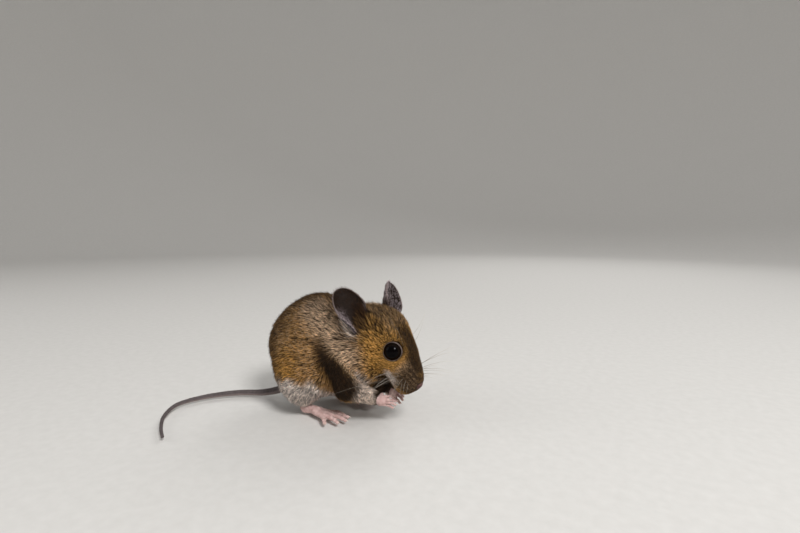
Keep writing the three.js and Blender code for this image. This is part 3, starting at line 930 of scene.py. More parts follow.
def region_of(points):
    """The index in REGIONS of the stretch of coat that each point is in."""
    behind = np.where(points[:, 2] > 19, 2, 3)
    trunk = np.where(points[:, 0] > 9.5, 1, behind)
    return np.where(share_of_head(points) > 0.5, 0, trunk)


LOCK_CORNERS = np.array(
    ((0, 2, 1), *((a, (a + 1) % 3, (a + 1) % 3 + 3) for a in range(3)),
     *((a, (a + 1) % 3 + 3, a + 3) for a in range(3)), (3, 4, 6), (4, 5, 6), (5, 3, 6))
)  # three points at the root, three halfway and the tip


def clumps_of(places, lie, aside, members):
    """The clump that each lock belongs to: a narrow patch of coat, along its lie."""
    centres = places[::members]
    tree = KDTree(len(centres))
    for index, centre in enumerate(centres):
        tree.insert(centre, index)
    tree.balance()
    nearest = np.array([[index for _, index, _ in tree.find_n(place, 6)] for place in places])
    offset = places[:, None] - centres[nearest]
    gap = (offset * aside[:, None]).sum(2) ** 2 + (0.4 * (offset * lie[:, None]).sum(2)) ** 2
    return nearest[np.arange(len(places)), gap.argmin(1)]


def grown_locks(places, normals, look, seed):
    """Points of every lock, and its tone."""
    random = np.random.default_rng(seed)
    count = len(places)
    size = size_of_locks(places)
    depth = coat_depth(places)
    guard = random.random(count) < look.guard_share
    lie = lie_of_coat(places, normals)
    aside = np.cross(normals, lie)

    clump = clumps_of(places, lie, aside, look.clump)
    members = np.bincount(clump)
    swing, clump_tone, clump_lift = random.random((3, len(members)))
    turn = random.normal(0, 0.12, count) + (swing[clump] - 0.5) * 0.7
    lie = unit(lie + aside * turn[:, None])
    aside = np.cross(normals, lie)

    length = look.lock_length / MM * size * random.uniform(0.75, 1.2, count) * np.where(guard, 1.2, 0.9)
    width = look.lock_width / MM * size * random.uniform(0.8, 1.2, count) * np.where(guard, 0.55, 1)
    lift = 0.65 * random.random(count) + 0.35 * clump_lift[clump]
    halfway_level = -depth * (0.75 - 0.5 * lift)
    tip_level = depth * (-0.45 + 0.6 * lift) + np.where(guard, look.lift / MM * size * lift, 0)
    tip_level = tip_level + 1.3 * near_ears(places)
    root = places - normals * 0.12
    halfway = settled(outline, places + lie * (length * 0.5)[:, None], halfway_level, 2, 2.5)
    tip = settled(outline, halfway + lie * (length * 0.5)[:, None], tip_level, 2, 2.5)

    gathered = np.stack([np.bincount(clump, tip[:, axis], len(members)) for axis in range(3)], 1)
    gathered = (gathered / np.maximum(members, 1)[:, None])[clump]
    tip = tip + (gathered - tip) * look.gather

    rings = []
    for middle, share in ((root, 0.75), (halfway, 1.0)):
        half = (width * share / 2)[:, None]
        rings += [middle - aside * half, middle + normals * half * 0.75, middle + aside * half]
    points = np.stack([*rings, tip], 1)
    tone = 0.35 * clump_tone[clump] + 0.65 * random.random(count)
    return points, np.where(guard & (random.random(count) < 0.3), tone * 0.3, tone)


LOCK_ALONG = np.array((0, 0, 0, 0.5, 0.5, 0.5, 1.0))
LOCK_POINTS = len(LOCK_ALONG)
LOCK_PATCH = np.array(((0, 0.08), (0.5, 0), (1, 0.08), (0.1, 0.5), (0.5, 0.55), (0.9, 0.5), (0.5, 1)))


def azimuth_map(places, middle, axis):
    """An equal-area unwrap of a rounded form, seen out from its middle, about an axis."""
    ways = unit(places - middle)
    first, second = across(unit(np.array(axis, float)))
    facing = ways @ unit(np.array(axis, float))
    spread = np.sqrt(np.clip(1 - facing, 0, 2))
    flat = unit(np.stack([ways @ first, ways @ second], 1)) * spread[:, None]
    low, high = flat.min(0), flat.max(0)
    return 0.01 + 0.98 * (flat - low) / np.maximum(high - low, 1e-9)


MIDDLES = {
    "head": on_head((6, 0, -1)),
    "forequarter": np.array((16, 0, 20)),
    "back": np.array((1, 0, 18)),
    "haunch": np.array((1, 0, 19)),
}


def coat_piece(region, name, look, seed, material):
    """The locks on one side of one region, as a single mesh."""
    points, triangles, normals = body_skin()
    corners = points[triangles]
    middles = corners.mean(1)
    area = np.linalg.norm(np.cross(corners[:, 1] - corners[:, 0], corners[:, 2] - corners[:, 0]), axis=1) / 2
    here = (region_of(middles) == REGIONS.index(region)) & (middles[:, 1] * SIDES[name] > 0)
    here &= is_furred(middles)
    thinned = 1 - 0.5 * ramp(-0.5, -0.8, normals[triangles].mean(1)[:, 2])  # half as many underneath
    weight = np.where(here, area * thinned / size_of_locks(middles) ** 2, 0)
    random = np.random.default_rng(seed)
    count = min(round(weight.sum() * look.density * MM**2), look.most_locks)
    draws = (np.arange(count) + random.random(count)) / count * weight.sum()
    face = np.minimum(np.searchsorted(np.cumsum(weight), draws), len(triangles) - 1)
    share = random.random((count, 2))
    share = np.where(share.sum(1, keepdims=True) > 1, 1 - share, share)
    share = np.concatenate([1 - share.sum(1, keepdims=True), share], 1)[..., None]
    places = (points[triangles[face]] * share).sum(1)
    ways = unit((normals[triangles[face]] * share).sum(1))

    locks, tone = grown_locks(places, ways, look, seed + 1)
    corners_of_locks = LOCK_CORNERS[None] + LOCK_POINTS * np.arange(count)[:, None, None]
    piece = mesh_object(
        f"Coat_{region}_{name}", locks.reshape(-1, 3), corners_of_locks.reshape(-1, 3), [material]
    )
    set_attribute(piece, "along", np.tile(LOCK_ALONG, count))
    set_attribute(piece, "tone", np.repeat(tone, LOCK_POINTS))
    marks = markings(places)
    marks = marks + 2.4 * marks * (1 - marks) * (random.random((count, 1)) - 0.5)
    for label, values in zip(("pale", "dusk", "ash", "fox"), marks.T):
        set_attribute(piece, label, np.repeat(np.clip(values, 0, 1), LOCK_POINTS))
    patch = LOCK_PATCH[LOCK_CORNERS]
    root_map = azimuth_map(places, MIDDLES[region], (0, SIDES[name], 0))
    corners_map = root_map[:, None, None] + look.patch * patch[None]
    piece.data.uv_layers.new(name="OFBake").data.foreach_set("uv", corners_map.ravel().astype(np.float32))
    return piece


# ---- Node trees ----


def add_node(tree, kind, inputs=None, **settings):
    """A node with its settings, and with each input set or linked."""
    made = tree.nodes.new(kind)
    for label, value in settings.items():
        setattr(made, label, value)
    for label, value in (inputs or {}).items():
        if isinstance(value, bpy.types.NodeSocket):
            tree.links.new(value, made.inputs[label])
        else:
            made.inputs[label].default_value = value
    return made


def maths(tree, operation, *values):
    return add_node(tree, "ShaderNodeMath", dict(enumerate(values)), operation=operation).outputs[0]


def remapped(tree, value, low, high, to_low=0.0, to_high=1.0):
    """A value from low to high, smoothly mapped to another range."""
    inputs = {"Value": value, "From Min": low, "From Max": high, "To Min": to_low, "To Max": to_high}
    return add_node(tree, "ShaderNodeMapRange", inputs, interpolation_type="SMOOTHSTEP").outputs[0]


def mixed(tree, share, a, b):
    """Colour a where share is 0 and b where it is 1."""
    return add_node(tree, "ShaderNodeMix", {0: share, 6: a, 7: b}, data_type="RGBA").outputs[2]


def opaque(colour):
    return (*colour[:3], 1)


def attribute(tree, name):
    return add_node(tree, "ShaderNodeAttribute", attribute_name=name).outputs["Fac"]


def new_group(name, kind, inputs, outputs):
    """A node group. Inputs are (name, socket type, default), and outputs (name, socket type)."""
    tree = bpy.data.node_groups.new(name, kind)
    for label, socket, default in inputs:
        made = tree.interface.new_socket(label, in_out="INPUT", socket_type=f"NodeSocket{socket}")
        if default is not None:
            made.default_value = default
    for label, socket in outputs:
        tree.interface.new_socket(label, in_out="OUTPUT", socket_type=f"NodeSocket{socket}")
    return tree, tree.nodes.new("NodeGroupInput").outputs, tree.nodes.new("NodeGroupOutput").inputs


FUR_COLOURS = (
    "Brown fur",
    "Fox fur",
    "Ash fur",
    "Pale fur",
    "Dusk fur",
    "Dark hair",
    "Undercoat",
    "Frost",
)


def markings_group():
    """The coat's colour, from its markings and from how far along a hair it is."""
    if "Coat markings" in bpy.data.node_groups:
        return bpy.data.node_groups["Coat markings"]
    values = [(label, "Float", 0.0) for label in ("Along", "Tone", "Pale", "Dusk", "Ash", "Fox")]
    look = bpy.context.scene.mouse_colours
    colours = [
        (label, "Color", opaque(getattr(look, label.lower().replace(" ", "_")))) for label in FUR_COLOURS
    ]
    tree, given, out = new_group("Coat markings", "ShaderNodeTree", values + colours, [("Colour", "Color")])
    colour = given["Brown fur"]
    for label in ("Fox", "Ash", "Pale", "Dusk"):
        colour = mixed(tree, given[label], colour, given[f"{label} fur"])
    dark = maths(tree, "MULTIPLY", remapped(tree, given["Tone"], 0.5, 0.12), 0.9)
    dark = maths(tree, "MULTIPLY", dark, remapped(tree, given["Pale"], 0, 1, 1, 0.5))
    colour = mixed(tree, dark, colour, given["Dark hair"])
    light = remapped(tree, given["Tone"], 0.15, 0.9, 0.45, 2.1)
    bright = add_node(tree, "ShaderNodeVectorMath", {0: colour, "Scale": light}, operation="SCALE").outputs[0]
    tip = remapped(tree, given["Along"], 0.6, 1.0)
    frost = maths(tree, "MULTIPLY", remapped(tree, given["Tone"], 0.4, 0.9), tip)
    frost = maths(tree, "MULTIPLY", frost, remapped(tree, given["Dusk"], 0.1, 0.8, 0.9, 0.0))
    frost = maths(tree, "MULTIPLY", frost, remapped(tree, given["Fox"], 0.0, 1.0, 1.0, 0.3))
    bright = mixed(tree, frost, bright, given["Frost"])
    root = maths(tree, "MULTIPLY", remapped(tree, given["Along"], 0.7, 0.2), 0.88)
    tree.links.new(mixed(tree, root, bright, given["Undercoat"]), out["Colour"])
    return tree


def grain_group():
    """The mottling and fine relief of bare skin."""
    if "Skin grain" in bpy.data.node_groups:
        return bpy.data.node_groups["Skin grain"]
    tree, given, out = new_group(
        "Skin grain",
        "ShaderNodeTree",
        [("Scale", "Float", 1500.0)],
        [("Mottle", "Float"), ("Height", "Float")],
    )
    place = add_node(tree, "ShaderNodeTexCoord").outputs["Object"]
    wide = maths(tree, "MULTIPLY", given["Scale"], 0.35)
    mottle = add_node(tree, "ShaderNodeTexNoise", {"Vector": place, "Scale": wide, "Detail": 3.0})
    cells = add_node(tree, "ShaderNodeTexVoronoi", {"Vector": place, "Scale": given["Scale"]})
    fine = add_node(tree, "ShaderNodeTexNoise", {"Vector": place, "Scale": given["Scale"], "Detail": 4.0})
    tree.links.new(remapped(tree, mottle.outputs[0], 0.3, 0.7), out["Mottle"])
    height = maths(tree, "ADD", cells.outputs["Distance"], fine.outputs[0])
    tree.links.new(height, out["Height"])
    return tree


def placed_group(tree, group, inputs):
    return add_node(tree, "ShaderNodeGroup", inputs, node_tree=group).outputs


def new_material(name, roughness, **constants):
    """A material with a Principled surface, and the sockets that take constants set on it."""
    made = bpy.data.materials.new(name)
    made.use_nodes = True
    surface = made.node_tree.nodes["Principled BSDF"]
    surface.inputs["Roughness"].default_value = roughness
    for label, value in constants.items():
        surface.inputs[label.replace("_", " ").title().replace("Ior", "IOR")].default_value = value
    made.diffuse_color = (0.5, 0.4, 0.3, 1)
    return made, made.node_tree, surface.inputs


def marked_colour(tree, along, tone):
    values = {label.title(): attribute(tree, label) for label in ("pale", "dusk", "ash", "fox")}
    return placed_group(tree, markings_group(), {"Along": along, "Tone": tone, **values})["Colour"]


def coat_material():
    made, tree, surface = new_material("Coat", 0.6, specular_ior_level=0.15)
    colour = marked_colour(tree, attribute(tree, "along"), attribute(tree, "tone"))
    tree.links.new(colour, surface["Base Color"])
    return made


def undercoat_material():
    made, tree, surface = new_material("Skin under the coat", 0.8, specular_ior_level=0.2)
    grain = placed_group(tree, grain_group(), {"Scale": 2600.0})
    colour = marked_colour(tree, 0.25, grain["Mottle"])
    tree.links.new(colour, surface["Base Color"])
    bump = add_node(tree, "ShaderNodeBump", {"Height": grain["Height"], "Distance": 0.0001})
    tree.links.new(bump.outputs[0], surface["Normal"])
    return made


def bare_material(name, colour, deep_colour, roughness, scale, relief, mask=None, mask_colour=None):
    """Bare skin: two tones mottled together, a third where a mask reaches, and a fine grain."""
    made, tree, surface = new_material(name, roughness, specular_ior_level=0.15)
    grain = placed_group(tree, grain_group(), {"Scale": scale})
    shade = mixed(tree, maths(tree, "MULTIPLY", grain["Mottle"], 0.6), opaque(colour), opaque(deep_colour))
    if mask:
        shade = mixed(tree, attribute(tree, mask), shade, opaque(mask_colour))
    tree.links.new(shade, surface["Base Color"])
    bump = add_node(tree, "ShaderNodeBump", {"Height": grain["Height"], "Distance": relief})
    tree.links.new(bump.outputs[0], surface["Normal"])
    return made


def hair_material(name, root_colour, tip_colour, roughness=0.5, tint=None):
    """A fine hair that changes colour from root to tip, and to another colour where it is tinted."""
    made, tree, surface = new_material(name, roughness, specular_ior_level=0.1)
    shade = mixed(tree, attribute(tree, "along"), opaque(root_colour), opaque(tip_colour))
    if tint:
        shade = mixed(tree, attribute(tree, "tint"), shade, opaque(tint))
    tree.links.new(shade, surface["Base Color"])
    return made


def eye_material():
    """A wet black globe with a trace of brown where the iris is."""
    made, tree, surface = new_material("Eye", 0.04, specular_ior_level=0.05)
    gaze = attribute(tree, "gaze")
    iris = maths(tree, "MULTIPLY", remapped(tree, gaze, 0.35, 0.55), remapped(tree, gaze, 0.85, 0.7))
    grain = add_node(tree, "ShaderNodeTexNoise", {"Scale": 1400.0, "Detail": 3.0})
    brown = mixed(tree, grain.outputs[0], (0.003, 0.002, 0.002, 1), (0.009, 0.005, 0.003, 1))
    tree.links.new(mixed(tree, iris, (0.0015, 0.001, 0.0012, 1), brown), surface["Base Color"])
    return made


# ---- Geometry Nodes: what repeats ----


def tree_of_hairs():
    """Short tapering hairs spread over a surface that carries the way they lie and where it is unwrapped."""
    if "Fine hairs" in bpy.data.node_groups:
        return bpy.data.node_groups["Fine hairs"]
    inputs = [
        ("Geometry", "Geometry", None),
        ("Density", "Float", 1.0),
        ("Length", "Float", 0.001),
        ("Radius", "Float", 0.00003),
        ("Lift", "Float", 0.2),
        ("Patch", "Float", 0.003),
        ("Seed", "Int", 1),
        ("Material", "Material", None),
    ]
    tree, given, out = new_group("Fine hairs", "GeometryNodeTree", inputs, [("Geometry", "Geometry")])
    spread = add_node(
        tree,
        "GeometryNodeDistributePointsOnFaces",
        {
            "Mesh": given["Geometry"],
            "Density": maths(tree, "MULTIPLY", given["Density"], named(tree, "thick", "FLOAT")),
            "Seed": given["Seed"],
        },
        distribute_method="RANDOM",
    )
    lie = named(tree, "lie", "FLOAT_VECTOR")
    raised = add_node(
        tree, "ShaderNodeVectorMath", {0: spread.outputs["Normal"], "Scale": given["Lift"]}, operation="SCALE"
    )
    jitter = add_node(
        tree,
        "FunctionNodeRandomValue",
        {0: (-0.25, -0.25, -0.25), 1: (0.25, 0.25, 0.25), "Seed": given["Seed"]},
        data_type="FLOAT_VECTOR",
    )
    way = add_node(tree, "ShaderNodeVectorMath", {0: lie, 1: raised.outputs[0]}, operation="ADD").outputs[0]
    way = add_node(tree, "ShaderNodeVectorMath", {0: way, 1: jitter.outputs[0]}, operation="ADD").outputs[0]
    turn = add_node(tree, "FunctionNodeAlignRotationToVector", {"Vector": way}, axis="Z").outputs[0]
    turn = add_node(
        tree,
        "FunctionNodeAlignRotationToVector",
        {"Rotation": turn, "Vector": spread.outputs["Normal"]},
        axis="X",
        pivot_axis="Z",
    ).outputs[0]
    vary = add_node(
        tree, "FunctionNodeRandomValue", {2: 0.6, 3: 1.15, "Seed": given["Seed"]}, data_type="FLOAT"
    )
    long = maths(tree, "MULTIPLY", vary.outputs[1], given["Length"])
    long = maths(tree, "MULTIPLY", long, named(tree, "long", "FLOAT"))
    size = add_node(
        tree, "ShaderNodeCombineXYZ", {"X": given["Radius"], "Y": given["Radius"], "Z": long}
    ).outputs[0]

    cone = add_node(
        tree,
        "GeometryNodeMeshCone",
        {"Vertices": 3, "Side Segments": 3, "Radius Top": 0.05, "Radius Bottom": 1.0, "Depth": 1.0},
    )
    place = add_node(tree, "GeometryNodeInputPosition").outputs[0]
    parts = add_node(tree, "ShaderNodeSeparateXYZ", {0: place}).outputs
    around = maths(tree, "ADD", parts["X"], maths(tree, "MULTIPLY", parts["Y"], 0.5))
    hair = stored(tree, cone.outputs["Mesh"], "along", "FLOAT", parts["Z"])
    hair = stored(tree, hair, "around", "FLOAT", around)
    drop = maths(tree, "MULTIPLY", maths(tree, "POWER", parts["Z"], 2.0), -6.0)
    bent = add_node(tree, "ShaderNodeCombineXYZ", {"X": drop}).outputs[0]
    hair = add_node(tree, "GeometryNodeSetPosition", {"Geometry": hair, "Offset": bent}).outputs[0]
    grown = add_node(
        tree,
        "GeometryNodeInstanceOnPoints",
        {"Points": spread.outputs["Points"], "Instance": hair, "Rotation": turn, "Scale": size},
    )
    real = add_node(tree, "GeometryNodeRealizeInstances", {"Geometry": grown.outputs[0]}).outputs[0]
    corner = add_node(
        tree,
        "ShaderNodeCombineXYZ",
        {"X": named(tree, "around", "FLOAT"), "Y": named(tree, "along", "FLOAT")},
    ).outputs[0]
    corner = add_node(tree, "ShaderNodeVectorMath", {0: corner, "Scale": given["Patch"]}, operation="SCALE")
    unwrapped = add_node(
        tree,
        "ShaderNodeVectorMath",
        {0: named(tree, "place", "FLOAT_VECTOR"), 1: corner.outputs[0]},
        operation="ADD",
    ).outputs[0]
    real = stored(tree, real, "OFBake", "FLOAT2", unwrapped, "CORNER")
    finish(tree, real, given["Material"], out["Geometry"])
    return tree


def named(tree, name, kind):
    made = add_node(tree, "GeometryNodeInputNamedAttribute", {"Name": name}, data_type=kind)
    return made.outputs["Attribute"]


def stored(tree, geometry, name, kind, value, domain="POINT"):
    made = add_node(
        tree,
        "GeometryNodeStoreNamedAttribute",
        {"Geometry": geometry, "Name": name},
        data_type=kind,
        domain=domain,
    )
    tree.links.new(value, made.inputs["Value"])
    return made.outputs[0]


def finish(tree, geometry, material, out):
    smooth = add_node(tree, "GeometryNodeSetShadeSmooth", {"Geometry": geometry}).outputs[0]
    worn = add_node(tree, "GeometryNodeSetMaterial", {"Geometry": smooth, "Material": material})
    tree.links.new(worn.outputs[0], out)


def tree_of_strands():
    """A bent tapering rod, round in section, on each point of a mesh: a whisker or a claw."""
    if "Strands" in bpy.data.node_groups:
        return bpy.data.node_groups["Strands"]
    inputs = [
        ("Geometry", "Geometry", None),
        ("Root radius", "Float", 0.0001),
        ("Tip radius", "Float", 0.00002),
        ("Steps", "Int", 14),
        ("Sides", "Int", 6),
        ("Material", "Material", None),
    ]
    tree, given, out = new_group("Strands", "GeometryNodeTree", inputs, [("Geometry", "Geometry")])
    line = add_node(tree, "GeometryNodeCurvePrimitiveLine", {"Start": (0, 0, 0), "End": (0, 0, 1)})
    line = add_node(tree, "GeometryNodeResampleCurve", {"Curve": line.outputs[0], "Count": given["Steps"]})
    along = add_node(tree, "GeometryNodeSplineParameter").outputs["Factor"]
    line = stored(tree, line.outputs[0], "along", "FLOAT", along)
    points = add_node(tree, "GeometryNodeMeshToPoints", {"Mesh": given["Geometry"]}).outputs[0]
    aim = named(tree, "aim", "FLOAT_VECTOR")
    turn = add_node(tree, "FunctionNodeAlignRotationToVector", {"Vector": aim}, axis="Z").outputs[0]
    reach = add_node(tree, "ShaderNodeVectorMath", {0: aim}, operation="LENGTH").outputs["Value"]
    size = add_node(tree, "ShaderNodeCombineXYZ", {"X": reach, "Y": reach, "Z": reach}).outputs[0]
    grown = add_node(
        tree,
        "GeometryNodeInstanceOnPoints",
        {"Points": points, "Instance": line, "Rotation": turn, "Scale": size},
    )
    real = add_node(tree, "GeometryNodeRealizeInstances", {"Geometry": grown.outputs[0]}).outputs[0]
    share = named(tree, "along", "FLOAT")
    bend = add_node(
        tree,
        "ShaderNodeVectorMath",
        {0: named(tree, "bend", "FLOAT_VECTOR"), "Scale": maths(tree, "POWER", share, 2.0)},
        operation="SCALE",
    ).outputs[0]
    real = add_node(tree, "GeometryNodeSetPosition", {"Geometry": real, "Offset": bend}).outputs[0]
    taper = add_node(
        tree,
        "ShaderNodeMapRange",
        {"Value": share, "To Min": given["Root radius"], "To Max": given["Tip radius"]},
    ).outputs[0]
    thick = named(tree, "thick", "FLOAT")
    section = add_node(
        tree, "GeometryNodeCurvePrimitiveCircle", {"Resolution": given["Sides"], "Radius": 1.0}
    ).outputs[0]
    rods = add_node(
        tree,
        "GeometryNodeCurveToMesh",
        {
            "Curve": real,
            "Profile Curve": section,
            "Fill Caps": True,
            "Scale": maths(tree, "MULTIPLY", taper, thick),
        },
    ).outputs[0]
    finish(tree, rods, given["Material"], out["Geometry"])
    return tree


def grown_piece(name, source, tree, **settings):
    """The plain mesh that a tree makes out of a source object, which it uses up."""
    modifier = source.modifiers.new("Growth", "NODES")
    modifier.node_group = tree
    for item in tree.interface.items_tree:
        label = item.name.lower().replace(" ", "_")
        if item.in_out == "INPUT" and label in settings:
            modifier[item.identifier] = settings[label]
    depsgraph = bpy.context.evaluated_depsgraph_get()
    mesh = bpy.data.meshes.new_from_object(
        source.evaluated_get(depsgraph), preserve_all_data_layers=True, depsgraph=depsgraph
    )
    mesh.name = name
    source.modifiers.remove(modifier)
    bpy.data.objects.remove(source)
    made = bpy.data.objects.new(name, mesh)
    bpy.context.collection.objects.link(made)
    return made


# ---- Sizes and colours that a user would change ----


def length_property(name, description, default):
    return bpy.props.FloatProperty(
        name=name, description=description, default=default, min=0, unit="LENGTH", precision=5
    )


def colour_property(name, description, default):
    return bpy.props.FloatVectorProperty(
        name=name, description=description, default=default, min=0, max=1, subtype="COLOR"
    )


class MouseCoat(bpy.types.PropertyGroup):
    """Sizes of the locks of hair that make the coat."""

    lock_length: length_property("Lock length", "Length of a lock on the back", 0.0025)
    lock_width: length_property("Lock width", "Width of a lock on the back", 0.00025)
    lift: length_property("Lift", "How far the guard hairs stand out past the outline", 0.0009)
    density: bpy.props.FloatProperty(
        name="Density", description="Full-sized locks in a square metre", default=24e6, min=0
    )
    most_locks: bpy.props.IntProperty(
        name="Most locks", description="The most locks in one piece of the coat", default=18700, min=1
    )
    guard_share: bpy.props.FloatProperty(
        name="Guard hairs", description="Share of the locks that are thin guard hairs", default=0.35,
        min=0, max=1, subtype="FACTOR",
    )
    clump: bpy.props.IntProperty(
        name="Clump", description="How many locks share a clump", default=3, min=1
    )
    gather: bpy.props.FloatProperty(
        name="Gather", description="How far the tips of a clump draw together", default=0.3,
        min=0, max=1, subtype="FACTOR",
    )
    patch: bpy.props.FloatProperty(
        name="Patch", description="Width of one lock's patch in the unwrap", default=0.003, min=0
    )


class MouseColours(bpy.types.PropertyGroup):
    """Colours of the coat and skin."""

    brown_fur: colour_property("Brown fur", "The coat's general colour", (0.42, 0.23, 0.085))
    fox_fur: colour_property("Fox fur", "Cheeks, rump and forelegs", (0.56, 0.29, 0.06))
    # Ash fur also paints the sheen on the shoulders
    ash_fur: colour_property("Ash fur", "Shoulders", (0.62, 0.43, 0.28))
    pale_fur: colour_property("Pale fur", "Belly, throat and lower haunch", (0.8, 0.7, 0.64))
    # Dusk fur also paints the shade behind the foreleg, under the chin, behind the ear and on the rump's edge
    dusk_fur: colour_property("Dusk fur", "Back, bridge of the nose and furrow", (0.024, 0.012, 0.005))
    dark_hair: colour_property("Dark hair", "The dark hairs in every part", (0.02, 0.012, 0.007))
    undercoat: colour_property("Undercoat", "Roots of the hair", (0.03, 0.018, 0.009))
    frost: colour_property("Frost", "Pale tips of the lighter hairs", (0.88, 0.72, 0.52))
    pink_skin: colour_property("Pink skin", "Feet", (0.64, 0.45, 0.42))
    ear_skin: colour_property("Ear skin", "Skin of the ears", (0.016, 0.009, 0.006))
    ear_rim: colour_property("Ear rim", "Thin edge of the ears", (0.2, 0.15, 0.13))
    tail_skin: colour_property("Tail skin", "Top of the tail", (0.11, 0.09, 0.09))


class MouseDetails(bpy.types.PropertyGroup):
    """Sizes of the whiskers, claws, fine hairs and tail rings."""

    whisker_length: length_property("Whisker length", "The longest whiskers", 0.024)
    whisker_radius: length_property("Whisker radius", "At the root", 0.00006)
    claw_length: length_property("Claw length", "Claws of the hind feet", 0.0011)
    ear_hair: length_property("Ear hair", "Length of the hairs on the ears", 0.0009)
    tail_hair: length_property("Tail hair", "Length of the hairs on the tail", 0.0007)
    foot_hair: length_property("Foot hair", "Length of the hairs on the feet", 0.0009)
    tail_rings: bpy.props.IntProperty(
        name="Tail rings", description="Rings of scales along the tail", default=140, min=10
    )


# ---- Operators ----
FLESH = (
    "trunk", "neck", "head", "nose",
    *(f"{part}_{side}" for part in ("ear", "foreleg", "forefoot", "hindleg", "hindfoot") for side in SIDES),
    *(f"tail_{length}" for length in ("base", "middle", "tip")),
)


def declared(piece, slot, *nodes):
    """A finished piece, riding on the animal, with the solids it stands for hidden. The slot is not used."""
    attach(piece, "root")
    if nodes:
        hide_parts(*nodes)
    return piece


class Builder(bpy.types.Operator):
    """What every step of the build has in common."""

    bl_options = {"REGISTER", "UNDO"}

    def execute(self, context):
        self.build(context)
        return {"FINISHED"}


COAT_SLOT, LID_SLOT, EAR_SLOT, FEET_SLOT, TAIL_SLOT, NOSE_SLOT = range(6)  # the skin's finishes


class MOUSE_OT_skin(Builder):
    """Make the one skin over the whole body, with its lids, ears, feet and tail"""

    bl_idname = "mouse.skin"
    bl_label = "Skin"

    def build(self, context):
        look = context.scene.mouse_colours
        materials = [
            undercoat_material(),
            bare_material("Lid", (0.2, 0.155, 0.14), (0.07, 0.045, 0.035), 0.45, 3000.0, 0.00004),
            bare_material(
                "Ear skin", look.ear_skin, (0.008, 0.005, 0.004), 0.75, 2200.0, 0.00008, "rim", look.ear_rim
            ),
            bare_material("Pink skin", look.pink_skin, (0.45, 0.26, 0.24), 0.5, 2400.0, 0.00006),
            bare_material(
                "Tail skin",
                look.tail_skin,
                (0.06, 0.048, 0.048),
                0.6,
                3000.0,
                0.00005,
                "rim",
                (0.3, 0.24, 0.23),
            ),
            bare_material("Nose skin", (0.13, 0.065, 0.058), (0.07, 0.03, 0.027), 0.35, 4000.0, 0.00005),
        ]
        points, triangles, _ = body_skin()
        body_piece = mesh_object("Skin", points, triangles, materials)
        middles = points[triangles].mean(1)
        bare = nose_pad(middles) < 0.1
        slots = np.where(bare, NOSE_SLOT, COAT_SLOT)
        body_piece.data.polygons.foreach_set("material_index", slots.astype(np.int32))
        set_attribute(body_piece, "rim", np.zeros(len(points)))

        parts = []
        left_hand, left_foot = hand(), foot()
        for name, side in SIDES.items():
            parts += [(LID_SLOT, lid(name)), (EAR_SLOT, ear(name, side))]
            for part in (left_hand, left_foot):
                parts.append((FEET_SLOT, part if side > 0 else mirrored_mesh(*part)))
        parts.append((TAIL_SLOT, tail(context.scene.mouse_details.tail_rings)))
        starts = np.cumsum([0] + [len(part[0]) for _, part in parts])
        points = np.concatenate([part[0] for _, part in parts])
        triangles = np.concatenate([part[1] + start for (_, part), start in zip(parts, starts)])
        added = mesh_object("Bare parts", points, triangles, materials)
        slots = np.concatenate([np.full(len(part[1]), slot) for slot, part in parts])
        added.data.polygons.foreach_set("material_index", slots.astype(np.int32))
        set_attribute(added, "rim", np.concatenate([rim_of(slot, part[0]) for slot, part in parts]))

        join = body_piece.modifiers.new("Join", "BOOLEAN")
        join.operation = "UNION"
        join.solver = "MANIFOLD"
        join.object = added
        depsgraph = context.evaluated_depsgraph_get()
        whole = bpy.data.meshes.new_from_object(
            body_piece.evaluated_get(depsgraph), preserve_all_data_layers=True, depsgraph=depsgraph
        )
        body_piece.modifiers.remove(join)
        body_piece.data = whole
        bpy.data.objects.remove(added)
        whole.polygons.foreach_set("use_smooth", np.ones(len(whole.polygons), bool))
        places = np.empty(len(whole.vertices) * 3, np.float32)
        whole.vertices.foreach_get("co", places)
        places = places.reshape(-1, 3) / MM - SHIFT
        for label, values in zip(("pale", "dusk", "ash", "fox"), markings(places).T):
            set_attribute(body_piece, label, values)
        declared(body_piece, "brown_fur", *FLESH)


def rim_of(slot, points):
    """1 at the thin edge of an ear or the underside of the tail, and 0 elsewhere."""
    if slot == EAR_SLOT:
        along, turned = ear_grid()
        sides = ramp(0.93, 1, np.abs(turned)) * ramp(0.2, 0.5, along)
        return over_ear(np.maximum(sides, ramp(0.97, 1, along)))
    if slot == TAIL_SLOT:
        path, _ = tail_curve(400)
        nearest = np.linalg.norm(points[:, None, :2] - path[None, ::4, :2], axis=2).argmin(1)
        return ramp(0.15, -0.5, points[:, 2] - path[::4][nearest, 2])
    return np.zeros(len(points))


class MOUSE_OT_eyes(Builder):
    """Make the two wet globes, a little fuller in front"""

    bl_idname = "mouse.eyes"
    bl_label = "Eyes"

    def build(self, context):
        material = eye_material()
        turns = np.linspace(0, 2 * math.pi, 64, endpoint=False)
        tilts = np.linspace(1 * DEGREE, 179 * DEGREE, 44)
        for name in SIDES:
            axis = EYE_AXES[name]
            first, second = across(axis)
            side = first * np.cos(turns)[:, None] + second * np.sin(turns)[:, None]
            radius = EYE_RADIUS * (1 + 0.02 * np.exp(-((tilts / (35 * DEGREE)) ** 2)))
            rings = axis * np.cos(tilts)[:, None, None] + side * np.sin(tilts)[:, None, None]
            rings = EYES[name] + rings * radius[:, None, None]
            points, triangles = facing_out(*loft(rings))
            piece = mesh_object(f"Eye_{name}", points, triangles, [material])
            set_attribute(piece, "gaze", unit(points - EYES[name]) @ axis)
            declared(piece, "eye", f"eye_{name}")


